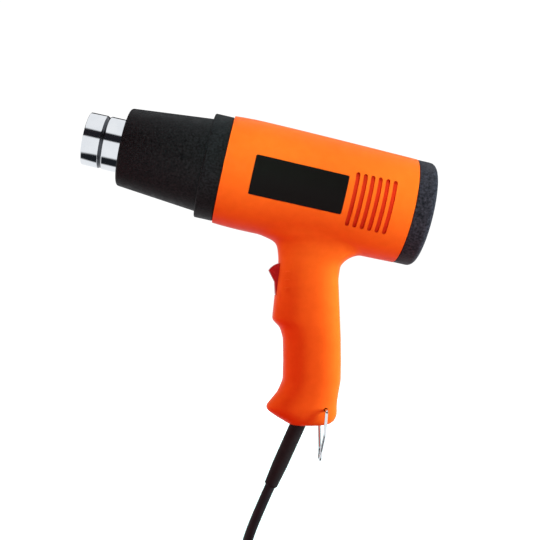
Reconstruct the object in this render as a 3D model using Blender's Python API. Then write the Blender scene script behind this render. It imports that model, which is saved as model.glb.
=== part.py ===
"""A mains hot air tool: barrel along X with its nozzle towards -X, raked handle below, metres, +Z up.

The origin is the middle of the hand grip. Barrel pieces are drawn round the barrel's axis, with x = 0
where the housing meets the heat shield. Handle pieces are drawn in the raked handle's own frame, with
x across the handle towards its back, y through its thickness and z up along it.
"""

import math

import bmesh
import bpy
from mathutils import Matrix, Vector

# Frames
RAKE = math.radians(12.6)
BARREL_AT = Vector((-0.083, 0.0, 0.100))
HANDLE_ROOT_X = 0.0601

# Clearances
GAP = 0.0003
HALF_GAP = 0.00015

# Housing
SHELL_LENGTH = 0.1248
SHELL_FRONT_RADIUS = 0.0363
SHELL_CROWN_RADIUS = 0.0371
SHELL_REAR_RADIUS = 0.0356
SHELL_CROWN_X = 0.020
SHELL_EDGE = 0.0008
BARREL_WALL = 0.0023
HANDLE_WALL = 0.0024
SHELL_BORE = min(SHELL_FRONT_RADIUS, SHELL_CROWN_RADIUS, SHELL_REAR_RADIUS) - BARREL_WALL
BOSS_RADIUS = 0.0030
CUT_REACH = 0.05
BARREL_SEGMENTS = 32
HANDLE_SEGMENTS = 16

# Side vents
VENT_COUNT = 6
VENT_FIRST_X = 0.0850
VENT_PITCH = 0.00493
VENT_WIDTH = 0.0027
VENT_MIDDLE_Z = -0.0031
VENT_HALF_HEIGHT = 0.0174

# Side labels
LABEL_START_X = 0.0190
LABEL_LENGTH = 0.0605
LABEL_LOW = math.radians(-23.2)
LABEL_HIGH = math.radians(16.6)
LABEL_SUNK = 0.0007
LABEL_THICKNESS = 0.0006

# Heat shield
SHIELD_LENGTH = 0.0677
SHIELD_FRONT_RADIUS = 0.0260
SHIELD_NECK_RADIUS = 0.0314
SHIELD_LIP_RADIUS = 0.0352
SHIELD_LIP_LENGTH = 0.0129
SHIELD_WALL = 0.0024
SHIELD_MOUTH_GAP = 0.0014
SPIGOT_LENGTH = 0.0080
SPIGOT_WALL = 0.0021

# Nozzle and heater
NOZZLE_TIP_X = -0.0929
NOZZLE_RADIUS = 0.0178
NOZZLE_LIP_RADIUS = 0.0175
NOZZLE_WALL = 0.0010
NOZZLE_GROOVE_X = -0.0805
NOZZLE_GROOVE_WIDTH = 0.0014
NOZZLE_GROOVE_DEPTH = 0.0009
FLANGE_THICKNESS = 0.0010
FLANGE_REAR_X = -0.0060
DUCT_INSET = 0.0067
DUCT_RADIUS = SHELL_BORE - DUCT_INSET
DUCT_WALL = 0.0014
SLEEVE_WALL = 0.0006
CORE_LENGTH = 0.072
CORE_RADIUS = 0.0108
CORE_WEB = 0.0030
HEATER_WIRE_RADIUS = 0.0005
HEATER_LOOPS = 7
DISC_THICKNESS = 0.0018
DISC_WINDOW_RADIUS = 0.0042
DISC_WINDOW_OFFSET = 0.0115
FUSE_RADIUS = 0.0020
FUSE_LENGTH = 0.0090
FUSE_Z = -0.0195

# Fan and motor
DUCT_LENGTH = 0.0396
DUCT_LAP = 0.0040
LEAD_SLOT_X = 0.0170
LEAD_SLOT_LENGTH = 0.0130
HEATER_LEAD_ANGLE = math.radians(16.0)
FAN_RING_CLEARANCE = 0.0027
FAN_RING_RADIUS = SHELL_BORE - FAN_RING_CLEARANCE
FAN_RING_WALL = 0.0017
FAN_RING_LENGTH = 0.0340
FAN_BLADES = 7
FAN_HUB_RADIUS = 0.0085
FAN_HUB_LENGTH = 0.0130
FAN_TIP_GAP = 0.0009
FAN_FRONT_X = 0.0440
BLADE_HALF_THICKNESS = 0.0006
SPIDER_THICKNESS = 0.0030
SPOKE_HALF_WIDTH = 0.0022
MOTOR_NOSE_RADIUS = 0.0045
MOTOR_SCREW_OFFSET = 0.0085
MOTOR_SCREW_RADIUS = 0.0012
MOTOR_RADIUS = 0.0140
MOTOR_LENGTH = 0.0380
MOTOR_WALL = 0.0016
MOTOR_BELL_LENGTH = 0.0055
SHAFT_RADIUS = 0.0015
MAGNET_WALL = 0.0015
ARMATURE_GAP = 0.0006
COMMUTATOR_RADIUS = 0.0040
BOARD_RADIUS = 0.0130
BOARD_THICKNESS = 0.0016

# Rear cap
CAP_LENGTH = 0.0134
CAP_RADIUS = 0.0354
CAP_EDGE = 0.0042
CAP_WALL = 0.0024
CAP_SPIGOT_LENGTH = 0.0070
GRILLE_SLOTS = 16
GRILLE_SLOT_WIDTH = 0.0022
GRILLE_INNER_RADIUS = 0.0110
GRILLE_OUTER_RADIUS = 0.0270

# Switch, in the handle's frame
ROCKER_PIVOT_X = -0.0190
ROCKER_PIVOT_Z = -0.0605
ROCKER_SWEEP = 0.0112
ROCKER_WIDTH = 0.0130
ROCKER_REST_TURN = math.radians(15.0)
ROCKER_TIP_ANGLE = math.radians(47.6)
ROCKER_TAIL_ANGLE = math.radians(97.0)
ROCKER_WAIST = 0.0058
PIN_RADIUS = 0.0008
SWITCH_WIDTH = 0.0166
SWITCH_HEIGHT = 0.0236
SWITCH_FRONT_X = -0.0142
SWITCH_DEPTH = 0.0130
SWITCH_EAR_HEIGHT = 0.0100
SWITCH_TAB_LENGTH = 0.0045
SWITCH_TAB_STEP = 0.0070

# Hanging loop, in the handle's frame
BAIL_PIVOT_X = 0.0088
BAIL_WIRE_RADIUS = 0.0010
BAIL_TILT = math.radians(4.3)
BAIL_LEG = 0.0135
BAIL_LENGTH = 0.0360
BAIL_END_HALF_WIDTH = 0.0045
BAIL_SIDE_GAP = 0.0005
BAIL_HOOK_DEPTH = 0.0030

# Mains cord
CORD_RADIUS = 0.0035
CORD_EXIT_X = -0.0084
HANDLE_BOTTOM_Z = -0.1577
BAIL_PIVOT_Z = HANDLE_BOTTOM_Z + 0.0112
CORD_LEAN = math.radians(24.4)
RELIEF_LENGTH = 0.0450
RELIEF_ROOT_RADIUS = 0.0053
RELIEF_TIP_RADIUS = 0.0045
RELIEF_FLANGE_RADIUS = 0.0074
FLOOR_Z = -0.1800
TIE_THICKNESS = 0.0008
TIE_WIDTH = 0.0060
TIE_ANGLE = math.radians(20.0)
COIL_CENTRE = Vector((0.046, 0.0, FLOOR_Z + TIE_THICKNESS + GAP + CORD_RADIUS))
COIL_RADIUS = 0.0405
COIL_PITCH = 0.0075
COIL_LAYER_STEP = 0.0076
COIL_TURNS_PER_LAYER = 3.25
COIL_POINTS_PER_TURN = 20
COIL_END_ANGLE = math.radians(120.0)
LEAD_WIRE_RADIUS = 0.0010

# Route of the cord from the strain relief to the coil, and from the coil to the plug, in world axes
CORD_ROUTE = (
    (-0.0060, 0.0000, -0.1001),
    (-0.0078, 0.0003, -0.1090),
    (-0.0094, 0.0011, -0.1178),
    (-0.0108, 0.0027, -0.1266),
    (-0.0118, 0.0051, -0.1353),
    (-0.0122, 0.0087, -0.1436),
    (-0.0118, 0.0134, -0.1512),
    (-0.0102, 0.0194, -0.1578),
    (-0.0070, 0.0263, -0.1628),
    (-0.0020, 0.0331, -0.1659),
    (0.0046, 0.0390, -0.1674),
    (0.0126, 0.0431, -0.1678),
)
PLUG_ROUTE = (
    (0.0667, -0.0504, -0.1754),
    (0.0603, -0.0557, -0.1750),
    (0.0538, -0.0608, -0.1738),
    (0.0470, -0.0653, -0.1723),
    (0.0399, -0.0692, -0.1707),
    (0.0323, -0.0722, -0.1692),
    (0.0244, -0.0744, -0.1680),
    (0.0163, -0.0756, -0.1672),
    (0.0080, -0.0760, -0.1670),
)
PLUG_NECK_LENGTH = 0.018
PLUG_LENGTH = 0.054
PLUG_HALF_WIDTH = 0.0175
PLUG_HALF_HEIGHT = 0.0130
PLUG_PIN_RADIUS = 0.0024
PLUG_PIN_LENGTH = 0.019
PLUG_PIN_OFFSET = 0.0095
PLUG_PIN_ROOT = 0.006

# Outline of the handle, from the barrel down: height, front, back, half thickness
HANDLE_STATIONS = (
    (-0.0240, -0.0340, 0.0360, 0.0222),
    (-0.0312, -0.0300, 0.0355, 0.0210),
    (-0.0332, -0.0264, 0.0350, 0.0193),
    (-0.0355, -0.0239, 0.0345, 0.0181),
    (-0.0390, -0.0226, 0.0338, 0.0174),
    (-0.0447, -0.0220, 0.0289, 0.0170),
    (-0.0473, -0.0219, 0.0236, 0.0170),
    (-0.0514, -0.0221, 0.0197, 0.0170),
    (-0.0600, -0.0233, 0.0184, 0.0170),
    (-0.0872, -0.0262, 0.0195, 0.0170),
    (-0.0925, -0.0210, 0.0197, 0.0169),
    (-0.0998, -0.0189, 0.0200, 0.0168),
    (-0.1150, -0.0186, 0.0202, 0.0166),
    (-0.1281, -0.0190, 0.0200, 0.0164),
    (-0.1362, -0.0226, 0.0186, 0.0162),
    (-0.1410, -0.0266, 0.0179, 0.0160),
    (-0.1452, -0.0303, 0.0175, 0.0158),
    (-0.1474, -0.0303, 0.0175, 0.0156),
    (-0.1515, -0.0246, 0.0175, 0.0150),
    (-0.1555, -0.0180, 0.0157, 0.0135),
    (HANDLE_BOTTOM_Z, -0.0146, 0.0125, 0.0112),
)
HANDLE_SQUARENESS = 2.8

# Screw posts that tie the two housing halves, in barrel axes and in handle axes
POST_SEAT = SHELL_BORE - 0.0022
REAR_POST_SEAT = SHELL_BORE - 0.0024
BARREL_POSTS = ((0.0140, POST_SEAT), (0.0140, -POST_SEAT), (0.1060, REAR_POST_SEAT), (0.0910, -POST_SEAT))
HANDLE_POSTS = ((0.0100, -0.0850), (0.0125, -0.1200))
SCREW_SHANK_RADIUS = 0.0014
SCREW_HEAD_RADIUS = 0.0026
SCREW_HEAD_HEIGHT = 0.0018
SCREW_HEAD_SUNK = 0.0020
SCREW_REACH = 0.0090

# Cord clamp and relief flange, along the cord's line from the handle's mouth
TAIL_MIDDLE = -0.0240
TAIL_HALF = 0.0070
CLAMP_POST_SPACING = 0.0092
CLAMP_SCREW_REACH = 0.0075
CLAMP_FOOT = 0.0024
CLAMP_WALL = 0.0018
CLAMP_HALF_WIDTH = 0.0025
RELIEF_FLANGE_AT = -0.0066
RELIEF_FLANGE_THICKNESS = 0.0022
RELIEF_STRAIGHT = 0.0300

# Capacitor behind the switch, in the handle's frame
CAPACITOR_Z = -0.1050
CAPACITOR_BACK_X = 0.0158
CAPACITOR_SIZE = (0.0075, 0.0130, 0.0180)

AXES = {"X": Vector((1.0, 0.0, 0.0)), "Y": Vector((0.0, 1.0, 0.0))}


def clear_scene():
    for item in list(bpy.data.objects):
        bpy.data.objects.remove(item, do_unlink=True)


def finish(name, colour, roughness, metallic=0.0):
    material = bpy.data.materials.new(name)
    material.use_nodes = True
    shader = material.node_tree.nodes["Principled BSDF"]
    shader.inputs["Base Color"].default_value = (*colour, 1.0)
    shader.inputs["Roughness"].default_value = roughness
    shader.inputs["Metallic"].default_value = metallic
    return material


def frame_empty(name, location, turn=0.0):
    empty = bpy.data.objects.new(name, None)
    empty.location = location
    empty.rotation_euler = (0.0, turn, 0.0)
    bpy.context.collection.objects.link(empty)
    return empty


def add(name, bm, parent, material=None, at=(0.0, 0.0, 0.0), smooth=40.0):
    """Makes an object of a bmesh, with its faces pointing out and its round sides smooth."""
    bmesh.ops.remove_doubles(bm, verts=bm.verts, dist=1e-7)
    bmesh.ops.recalc_face_normals(bm, faces=bm.faces)
    mesh = bpy.data.meshes.new(name)
    bm.to_mesh(mesh)
    bm.free()
    mesh.shade_smooth()
    mesh.set_sharp_from_angle(angle=math.radians(smooth))
    piece = bpy.data.objects.new(name, mesh)
    piece.location = at
    piece.parent = parent
    if material is None:
        hide(piece)
    else:
        mesh.materials.append(material)
    bpy.context.collection.objects.link(piece)
    return piece


def hide(piece):
    piece.hide_render = True
    piece.display_type = "WIRE"


def combine(target, other, operation="DIFFERENCE"):
    step = target.modifiers.new(operation.lower() + "_" + other.name, "BOOLEAN")
    step.operation = operation
    step.solver = "EXACT"
    step.object = other


def turned(profile, segments, axis="X", half_step=False):
    """Turns a closed outline of (along, radius) points round an axis, half a step on if asked."""
    bm = bmesh.new()
    corners = []
    for along, radius in profile:
        point = (along, 0.0, radius) if axis == "X" else (radius, along, 0.0)
        corners.append(bm.verts.new(point))
    edges = [bm.edges.new((corners[i - 1], corners[i])) for i in range(len(corners))]
    bmesh.ops.spin(
        bm, geom=corners + edges, cent=(0.0, 0.0, 0.0), axis=(1, 0, 0) if axis == "X" else (0, 1, 0),
        dvec=(0.0, 0.0, 0.0), angle=2.0 * math.pi, steps=segments, use_merge=True, use_duplicate=False)
    bmesh.ops.remove_doubles(bm, verts=bm.verts, dist=1e-7)
    flat = [face for face in bm.faces if face.calc_area() < 1e-14]
    bmesh.ops.delete(bm, geom=flat, context="FACES")
    lone = [edge for edge in bm.edges if not edge.link_faces]
    bmesh.ops.delete(bm, geom=lone, context="EDGES")
    centre = [vert for vert in bm.verts if (vert.co - vert.co.project(AXES[axis])).length < 1e-9]
    bmesh.ops.dissolve_verts(bm, verts=centre)
    if half_step:
        bmesh.ops.rotate(bm, verts=bm.verts, matrix=Matrix.Rotation(math.pi / segments, 3, axis))
    return bm


def loft(rings):
    """Joins rings of equal length into one closed skin."""
    bm = bmesh.new()
    rows = [[bm.verts.new(point) for point in ring] for ring in rings]
    for low, high in zip(rows, rows[1:]):
        for i in range(len(low)):
            bm.faces.new((low[i - 1], low[i], high[i], high[i - 1]))
    bm.faces.new(rows[0])
    bm.faces.new(rows[-1])
    return bm


def slab(outline, thickness, lift=0.0):
    """Extrudes an (x, z) outline along y, from lift - thickness / 2 to lift + thickness / 2."""
    rings = []
    for y in (lift - thickness / 2.0, lift + thickness / 2.0):
        rings.append([(x, y, z) for x, z in outline])
    return loft(rings)


def block(low, high):
    outline = ((low[0], low[2]), (high[0], low[2]), (high[0], high[2]), (low[0], high[2]))
    return slab(outline, high[1] - low[1], (low[1] + high[1]) / 2.0)


def rod(start, end, radius, segments=16, end_radius=None):
    """A round bar between two points, tapered when it has an end radius."""
    start, end = Vector(start), Vector(end)
    turn = (end - start).to_track_quat("Z", "Y").to_matrix().to_4x4()
    bm = bmesh.new()
    bmesh.ops.create_cone(
        bm, cap_ends=True, segments=segments, radius1=radius, radius2=end_radius or radius,
        depth=(end - start).length, matrix=Matrix.Translation((start + end) / 2.0) @ turn)
    return bm


def join(*parts):
    """Puts several bmesh bodies in one mesh, for cutters that don't touch each other."""
    whole = parts[0]
    for part in parts[1:]:
        mesh = bpy.data.meshes.new("joined")
        part.to_mesh(mesh)
        part.free()
        whole.from_mesh(mesh)
        bpy.data.meshes.remove(mesh)
    return whole


def curve_points(route, count):
    """Reads evenly spaced points from a smooth curve through the route's own points."""
    route = [Vector(point) for point in route]
    route = [2.0 * route[0] - route[1]] + route + [2.0 * route[-1] - route[-2]]
    fine = []
    for a, b, c, d in zip(route, route[1:], route[2:], route[3:]):
        for i in range(24):
            t = i / 24.0
            fine.append(0.5 * (2.0 * b + (c - a) * t + (2.0 * a - 5.0 * b + 4.0 * c - d) * t ** 2
                               + (3.0 * b - a - 3.0 * c + d) * t ** 3))
    fine.append(route[-2])
    lengths = [0.0]
    for near, far in zip(fine, fine[1:]):
        lengths.append(lengths[-1] + (far - near).length)
    points = []
    step = 0
    for i in range(count):
        wanted = lengths[-1] * i / (count - 1)
        while step < len(fine) - 2 and lengths[step + 1] < wanted:
            step += 1
        part = (wanted - lengths[step]) / (lengths[step + 1] - lengths[step])
        points.append(fine[step].lerp(fine[step + 1], part))
    return points


def tube(name, points, radius, material, parent=None, resolution=2):
    curve = bpy.data.curves.new(name, "CURVE")
    curve.dimensions = "3D"
    curve.bevel_depth = radius
    curve.bevel_resolution = resolution
    curve.use_fill_caps = True
    spline = curve.splines.new("POLY")
    spline.points.add(len(points) - 1)
    for control, point in zip(spline.points, points):
        control.co = (*point, 1.0)
    curve.materials.append(material)
    piece = bpy.data.objects.new(name, curve)
    piece.parent = parent
    bpy.context.collection.objects.link(piece)
    return piece


def barrel_radius(x):
    """Outer radius of the housing's barrel, a slight crown that falls to both ends."""
    if x < SHELL_CROWN_X:
        share = 1.0 - x / SHELL_CROWN_X
        return SHELL_CROWN_RADIUS - (SHELL_CROWN_RADIUS - SHELL_FRONT_RADIUS) * share ** 2
    share = (x - SHELL_CROWN_X) / (SHELL_LENGTH - SHELL_CROWN_X)
    return SHELL_CROWN_RADIUS - (SHELL_CROWN_RADIUS - SHELL_REAR_RADIUS) * share ** 1.5


def handle_ring(station, inset):
    """One squarish oval section of the handle, drawn in by an inset."""
    z, front, back, half = station
    middle = (front + back) / 2.0
    depth = (back - front) / 2.0 - inset
    half = half - inset
    ring = []
    for i in range(HANDLE_SEGMENTS):
        angle = 2.0 * math.pi * (i + 0.5) / HANDLE_SEGMENTS
        c, s = math.cos(angle), math.sin(angle)
        x = math.copysign(abs(c) ** (2.0 / HANDLE_SQUARENESS), c)
        y = math.copysign(abs(s) ** (2.0 / HANDLE_SQUARENESS), s)
        ring.append((middle + depth * x, half * y, z))
    return ring


def handle_half_thickness(z):
    """Half thickness of the handle at a height, read between its stations."""
    for high, low in zip(HANDLE_STATIONS, HANDLE_STATIONS[1:]):
        if low[0] <= z <= high[0]:
            share = (high[0] - z) / (high[0] - low[0])
            return high[3] + (low[3] - high[3]) * share
    return HANDLE_STATIONS[-1][3]


def housing(barrel, handle, orange):
    """The two orange halves: an outer form, less its hollow, posts left standing, split down the middle."""
    steps = 7
    outer = [(0.0, 0.0), (0.0, SHELL_FRONT_RADIUS - SHELL_EDGE)]
    for i in range(steps + 1):
        x = SHELL_EDGE + (SHELL_LENGTH - SHELL_EDGE) * i / steps
        outer.append((x, barrel_radius(x)))
    outer.append((SHELL_LENGTH, 0.0))
    form = add("housing_form", turned(outer, BARREL_SEGMENTS, half_step=True), barrel)
    grip = add("handle_form", loft([handle_ring(s, 0.0) for s in HANDLE_STATIONS]), handle)
    combine(form, grip, "UNION")

    over = 0.002
    hollow = add("housing_hollow", turned(
        [(-over, 0.0), (-over, SHELL_BORE), (SHELL_LENGTH + over, SHELL_BORE), (SHELL_LENGTH + over, 0.0)],
        BARREL_SEGMENTS, half_step=True), barrel)
    inner_stations = [s for s in HANDLE_STATIONS if s[0] > HANDLE_BOTTOM_Z + HANDLE_WALL]
    floor = inner_stations[-1]
    inner_stations.append((HANDLE_BOTTOM_Z + HANDLE_WALL, *floor[1:]))
    inner = add("handle_hollow", loft([handle_ring(s, HANDLE_WALL) for s in inner_stations]), handle)
    combine(hollow, inner, "UNION")
    combine(hollow, switch_cutter(handle), "UNION")

    posts = [(barrel, x, z, CUT_REACH) for x, z in BARREL_POSTS]
    posts += [(handle, x, z, CUT_REACH) for x, z in HANDLE_POSTS]
    posts += [(handle, x, z, -HALF_GAP) for x, z in clamp_screw_places()]
    for i, (frame, x, z, far) in enumerate(posts):
        post = rod((x, -CUT_REACH, z), (x, far, z), BOSS_RADIUS, 12)
        combine(hollow, add("post_%d" % (i + 1), post, frame))

    shells = []
    for name, side in (("left_shell", -1.0), ("right_shell", 1.0)):
        near, far = sorted((side * HALF_GAP, side * 0.06))
        shell = add(name, block((-0.02, near, -0.19), (0.15, far, 0.06)), barrel, orange)
        combine(shell, form, "INTERSECT")
        combine(shell, hollow)
        shells.append(shell)

    cuts = [vent_cutter(barrel), label_cutter(barrel), rocker_cutter(handle)]
    cuts += [relief_cutter(handle), bail_cutter(handle)]
    for shell in shells:
        for cut in cuts:
            combine(shell, cut)
    screw_holes(shells, barrel, "barrel", BARREL_POSTS)
    screw_holes(shells, handle, "handle", HANDLE_POSTS)
    for i, (x, z) in enumerate(clamp_screw_places()):
        bore = rod((x, -CLAMP_SCREW_REACH - GAP, z), (x, 0.004, z), SCREW_SHANK_RADIUS + GAP, 10)
        combine(shells[0], add("clamp_bore_%d" % (i + 1), bore, handle))


def vent_cutter(barrel):
    slots = []
    for i in range(VENT_COUNT):
        x = VENT_FIRST_X + i * VENT_PITCH
        low = (x - VENT_WIDTH / 2.0, -CUT_REACH, VENT_MIDDLE_Z - VENT_HALF_HEIGHT)
        high = (x + VENT_WIDTH / 2.0, CUT_REACH, VENT_MIDDLE_Z + VENT_HALF_HEIGHT)
        slots.append(block(low, high))
    return add("vent_cutter", join(*slots), barrel)


def label_ring(x, inner, outer, margin, side):
    """Four rounded-in rows of one label section at x, between two radii."""
    count = 6
    ring = []
    for radius, order in ((inner, range(count + 1)), (outer, range(count, -1, -1))):
        for i in order:
            share = i / count
            angle = LABEL_LOW - margin + (LABEL_HIGH - LABEL_LOW + 2.0 * margin) * share
            ring.append((x, side * radius * math.cos(angle), radius * math.sin(angle)))
    return ring


def label_body(side, sunk, proud, margin):
    """A curved plate that follows the barrel, or the recess for it."""
    count = 5
    rings = []
    length = LABEL_LENGTH + 2.0 * margin
    for i in range(count + 1):
        x = LABEL_START_X - margin + length * i / count
        rings.append(label_ring(x, barrel_radius(x) - sunk, barrel_radius(x) + proud,
                                margin / SHELL_CROWN_RADIUS, side))
    return loft(rings)


def label_cutter(barrel):
    over = 0.003
    return add("label_cutter", join(label_body(-1.0, LABEL_SUNK, over, GAP),
                                    label_body(1.0, LABEL_SUNK, over, GAP)), barrel)


def labels(barrel, black):
    for name, side in (("left_label", -1.0), ("right_label", 1.0)):
        sunk = LABEL_SUNK - GAP
        add(name, label_body(side, sunk, LABEL_THICKNESS - sunk, 0.0), barrel, black)


def rocker_cutter(handle):
    x, z = ROCKER_PIVOT_X, ROCKER_PIVOT_Z
    half = ROCKER_WIDTH / 2.0 + GAP
    return add("rocker_cutter", rod((x, -half, z), (x, half, z), ROCKER_SWEEP + GAP, 28), handle)


def switch_cutter(handle):
    """Room behind the handle's front wall for the switch and its ears."""
    half = SWITCH_WIDTH / 2.0 + GAP
    front = ROCKER_PIVOT_X - PIN_RADIUS - 4.0 * GAP - GAP
    top = ROCKER_PIVOT_Z + SWITCH_HEIGHT / 2.0 + GAP
    low = ROCKER_PIVOT_Z - SWITCH_HEIGHT / 2.0 - GAP
    return add("switch_cutter", block((front, -half, low), (0.0, half, top)), handle)


def screw_holes(shells, frame, label, posts):
    """A blind pilot hole in the left half, and a sunk clearance hole in the right one."""
    for i, (x, z) in enumerate(posts):
        head_y = screw_head_y(label, x, z)
        pilot = rod((x, -SCREW_REACH - GAP, z), (x, 0.06, z), SCREW_SHANK_RADIUS + GAP, 10)
        seat = rod((x, head_y - SCREW_HEAD_HEIGHT - GAP, z), (x, 0.06, z), SCREW_HEAD_RADIUS + GAP, 10)
        pilot_cut = add("%s_pilot_%d" % (label, i + 1), pilot, frame)
        seat_cut = add("%s_seat_%d" % (label, i + 1), seat, frame)
        combine(shells[0], pilot_cut)
        combine(shells[1], pilot_cut)
        combine(shells[1], seat_cut)


def screw_head_y(label, x, z):
    """Where a housing screw's head ends, sunk below the right half's surface."""
    if label == "barrel":
        surface = math.sqrt(barrel_radius(x) ** 2 - (abs(z) + SCREW_HEAD_RADIUS) ** 2)
    else:
        surface = handle_half_thickness(z)
    return surface - SCREW_HEAD_SUNK


def screw(name, frame, steel, x, z, head_y, tip_y):
    """A pan-head screw along y, its head towards +y."""
    under = head_y - SCREW_HEAD_HEIGHT
    profile = [(tip_y, 0.0), (tip_y, SCREW_SHANK_RADIUS), (under, SCREW_SHANK_RADIUS),
               (under, SCREW_HEAD_RADIUS), (head_y - 0.0006, SCREW_HEAD_RADIUS),
               (head_y, SCREW_HEAD_RADIUS * 0.62), (head_y, 0.0)]
    add(name, turned(profile, 10, "Y"), frame, steel, (x, 0.0, z))


def housing_screws(barrel, handle, steel):
    number = 1
    for frame, label, posts in ((barrel, "barrel", BARREL_POSTS), (handle, "handle", HANDLE_POSTS)):
        for x, z in posts:
            screw("housing_screw_%d" % number, frame, steel, x, z, screw_head_y(label, x, z), -SCREW_REACH)
            number += 1


def heat_shield(barrel, black):
    neck_x = -SHIELD_LIP_LENGTH
    front = -SHIELD_LENGTH
    mouth = NOZZLE_RADIUS + SHIELD_MOUTH_GAP
    spigot = SHELL_BORE - GAP
    socket = DUCT_RADIUS + GAP
    ledge_x = FLANGE_REAR_X - FLANGE_THICKNESS - GAP
    profile = [
        (front, mouth), (front, SHIELD_FRONT_RADIUS - 0.0019), (front + 0.0006, SHIELD_FRONT_RADIUS - 0.0006),
        (front + 0.0020, SHIELD_FRONT_RADIUS), (neck_x - 0.0003, SHIELD_NECK_RADIUS),
        (neck_x, SHIELD_LIP_RADIUS - 0.0008), (neck_x + 0.0009, SHIELD_LIP_RADIUS - 0.0002),
        (-GAP, SHIELD_LIP_RADIUS), (-GAP, spigot), (SPIGOT_LENGTH, spigot),
        (SPIGOT_LENGTH, spigot - SPIGOT_WALL), (neck_x + 0.0050, spigot - SPIGOT_WALL),
        (neck_x + 0.0050, socket + SPIGOT_WALL), (0.0020, socket + SPIGOT_WALL), (0.0020, socket),
        (ledge_x, socket), (ledge_x, socket - SPIGOT_WALL), (neck_x, socket - SPIGOT_WALL),
        (neck_x, SHIELD_NECK_RADIUS - SHIELD_WALL),
        (front + SHIELD_WALL, SHIELD_FRONT_RADIUS - SHIELD_WALL), (front + SHIELD_WALL, mouth)]
    add("heat_shield", turned(profile, 28), barrel, black)


def nozzle(barrel, chrome):
    groove = NOZZLE_GROOVE_X
    half = NOZZLE_GROOVE_WIDTH / 2.0
    bottom = NOZZLE_RADIUS - NOZZLE_GROOVE_DEPTH
    bore = NOZZLE_RADIUS - NOZZLE_WALL
    tip = NOZZLE_TIP_X
    flange_front = FLANGE_REAR_X - FLANGE_THICKNESS
    profile = [
        (tip, bore - 0.0004), (tip, NOZZLE_LIP_RADIUS - 0.0007), (tip + 0.0007, NOZZLE_LIP_RADIUS),
        (groove - half - 0.0006, NOZZLE_LIP_RADIUS + 0.0002), (groove - half, bottom),
        (groove + half, bottom), (groove + half + 0.0006, NOZZLE_RADIUS), (flange_front, NOZZLE_RADIUS),
        (flange_front, DUCT_RADIUS), (FLANGE_REAR_X, DUCT_RADIUS), (FLANGE_REAR_X, bore),
        (groove + half + 0.0006, bore), (groove + half, bottom - NOZZLE_WALL),
        (groove - half, bottom - NOZZLE_WALL), (groove - half - 0.0006, bore - 0.0004)]
    add("nozzle", turned(profile, 24), barrel, chrome)


def heater(barrel, mica, ceramic, wire, steel):
    disc_front = FLANGE_REAR_X + GAP
    core_rear = disc_front - GAP
    core_front = core_rear - CORE_LENGTH
    bore = NOZZLE_RADIUS - NOZZLE_GROOVE_DEPTH - 2.0 * NOZZLE_WALL
    outer = bore - GAP + NOZZLE_WALL
    sleeve_front = NOZZLE_GROOVE_X + NOZZLE_GROOVE_WIDTH + 0.001
    sleeve = [(sleeve_front, outer - SLEEVE_WALL), (sleeve_front, outer), (core_rear, outer),
              (core_rear, outer - SLEEVE_WALL)]
    add("mica_sleeve", turned(sleeve, 20), barrel, mica)

    core = add("heater_core", rod((core_front, 0, 0), (core_rear, 0, 0), CORE_WEB, 12), barrel, ceramic)
    web = CORE_WEB / 2.0
    for i in range(2):
        wing = block((core_front, -web, -CORE_RADIUS), (core_rear, web, CORE_RADIUS))
        bmesh.ops.rotate(wing, verts=wing.verts, matrix=Matrix.Rotation(math.pi * (0.25 + 0.5 * i), 3, "X"))
        combine(core, add("core_wing_%d" % (i + 1), wing, barrel), "UNION")

    loops = []
    per_loop = 8
    count = per_loop * HEATER_LOOPS
    wound = CORE_RADIUS + web / 2.0 + GAP + HEATER_WIRE_RADIUS
    for i in range(count + 1):
        angle = 2.0 * math.pi * i / per_loop
        x = core_front + 0.004 + (CORE_LENGTH - 0.010) * i / count
        loops.append((x, wound * math.cos(angle), wound * math.sin(angle)))
    tube("heating_coil", loops, HEATER_WIRE_RADIUS, wire, barrel, 1)

    disc_rear = disc_front + DISC_THICKNESS
    disc = add("terminal_disc", turned([(disc_front, 0.0), (disc_front, DUCT_RADIUS),
                                        (disc_rear, DUCT_RADIUS), (disc_rear, 0.0)], 24), barrel, mica)
    windows = []
    for i in range(4):
        angle = math.pi * (0.25 + 0.5 * i)
        y, z = DISC_WINDOW_OFFSET * math.cos(angle), DISC_WINDOW_OFFSET * math.sin(angle)
        windows.append(rod((disc_front - 0.002, y, z), (disc_rear + 0.002, y, z), DISC_WINDOW_RADIUS, 12))
    combine(disc, add("disc_windows", join(*windows), barrel))
    fuse = rod((disc_rear + GAP, 0.0, FUSE_Z), (disc_rear + GAP + FUSE_LENGTH, 0.0, FUSE_Z), FUSE_RADIUS, 12)
    add("thermal_fuse", fuse, barrel, steel)


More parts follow.
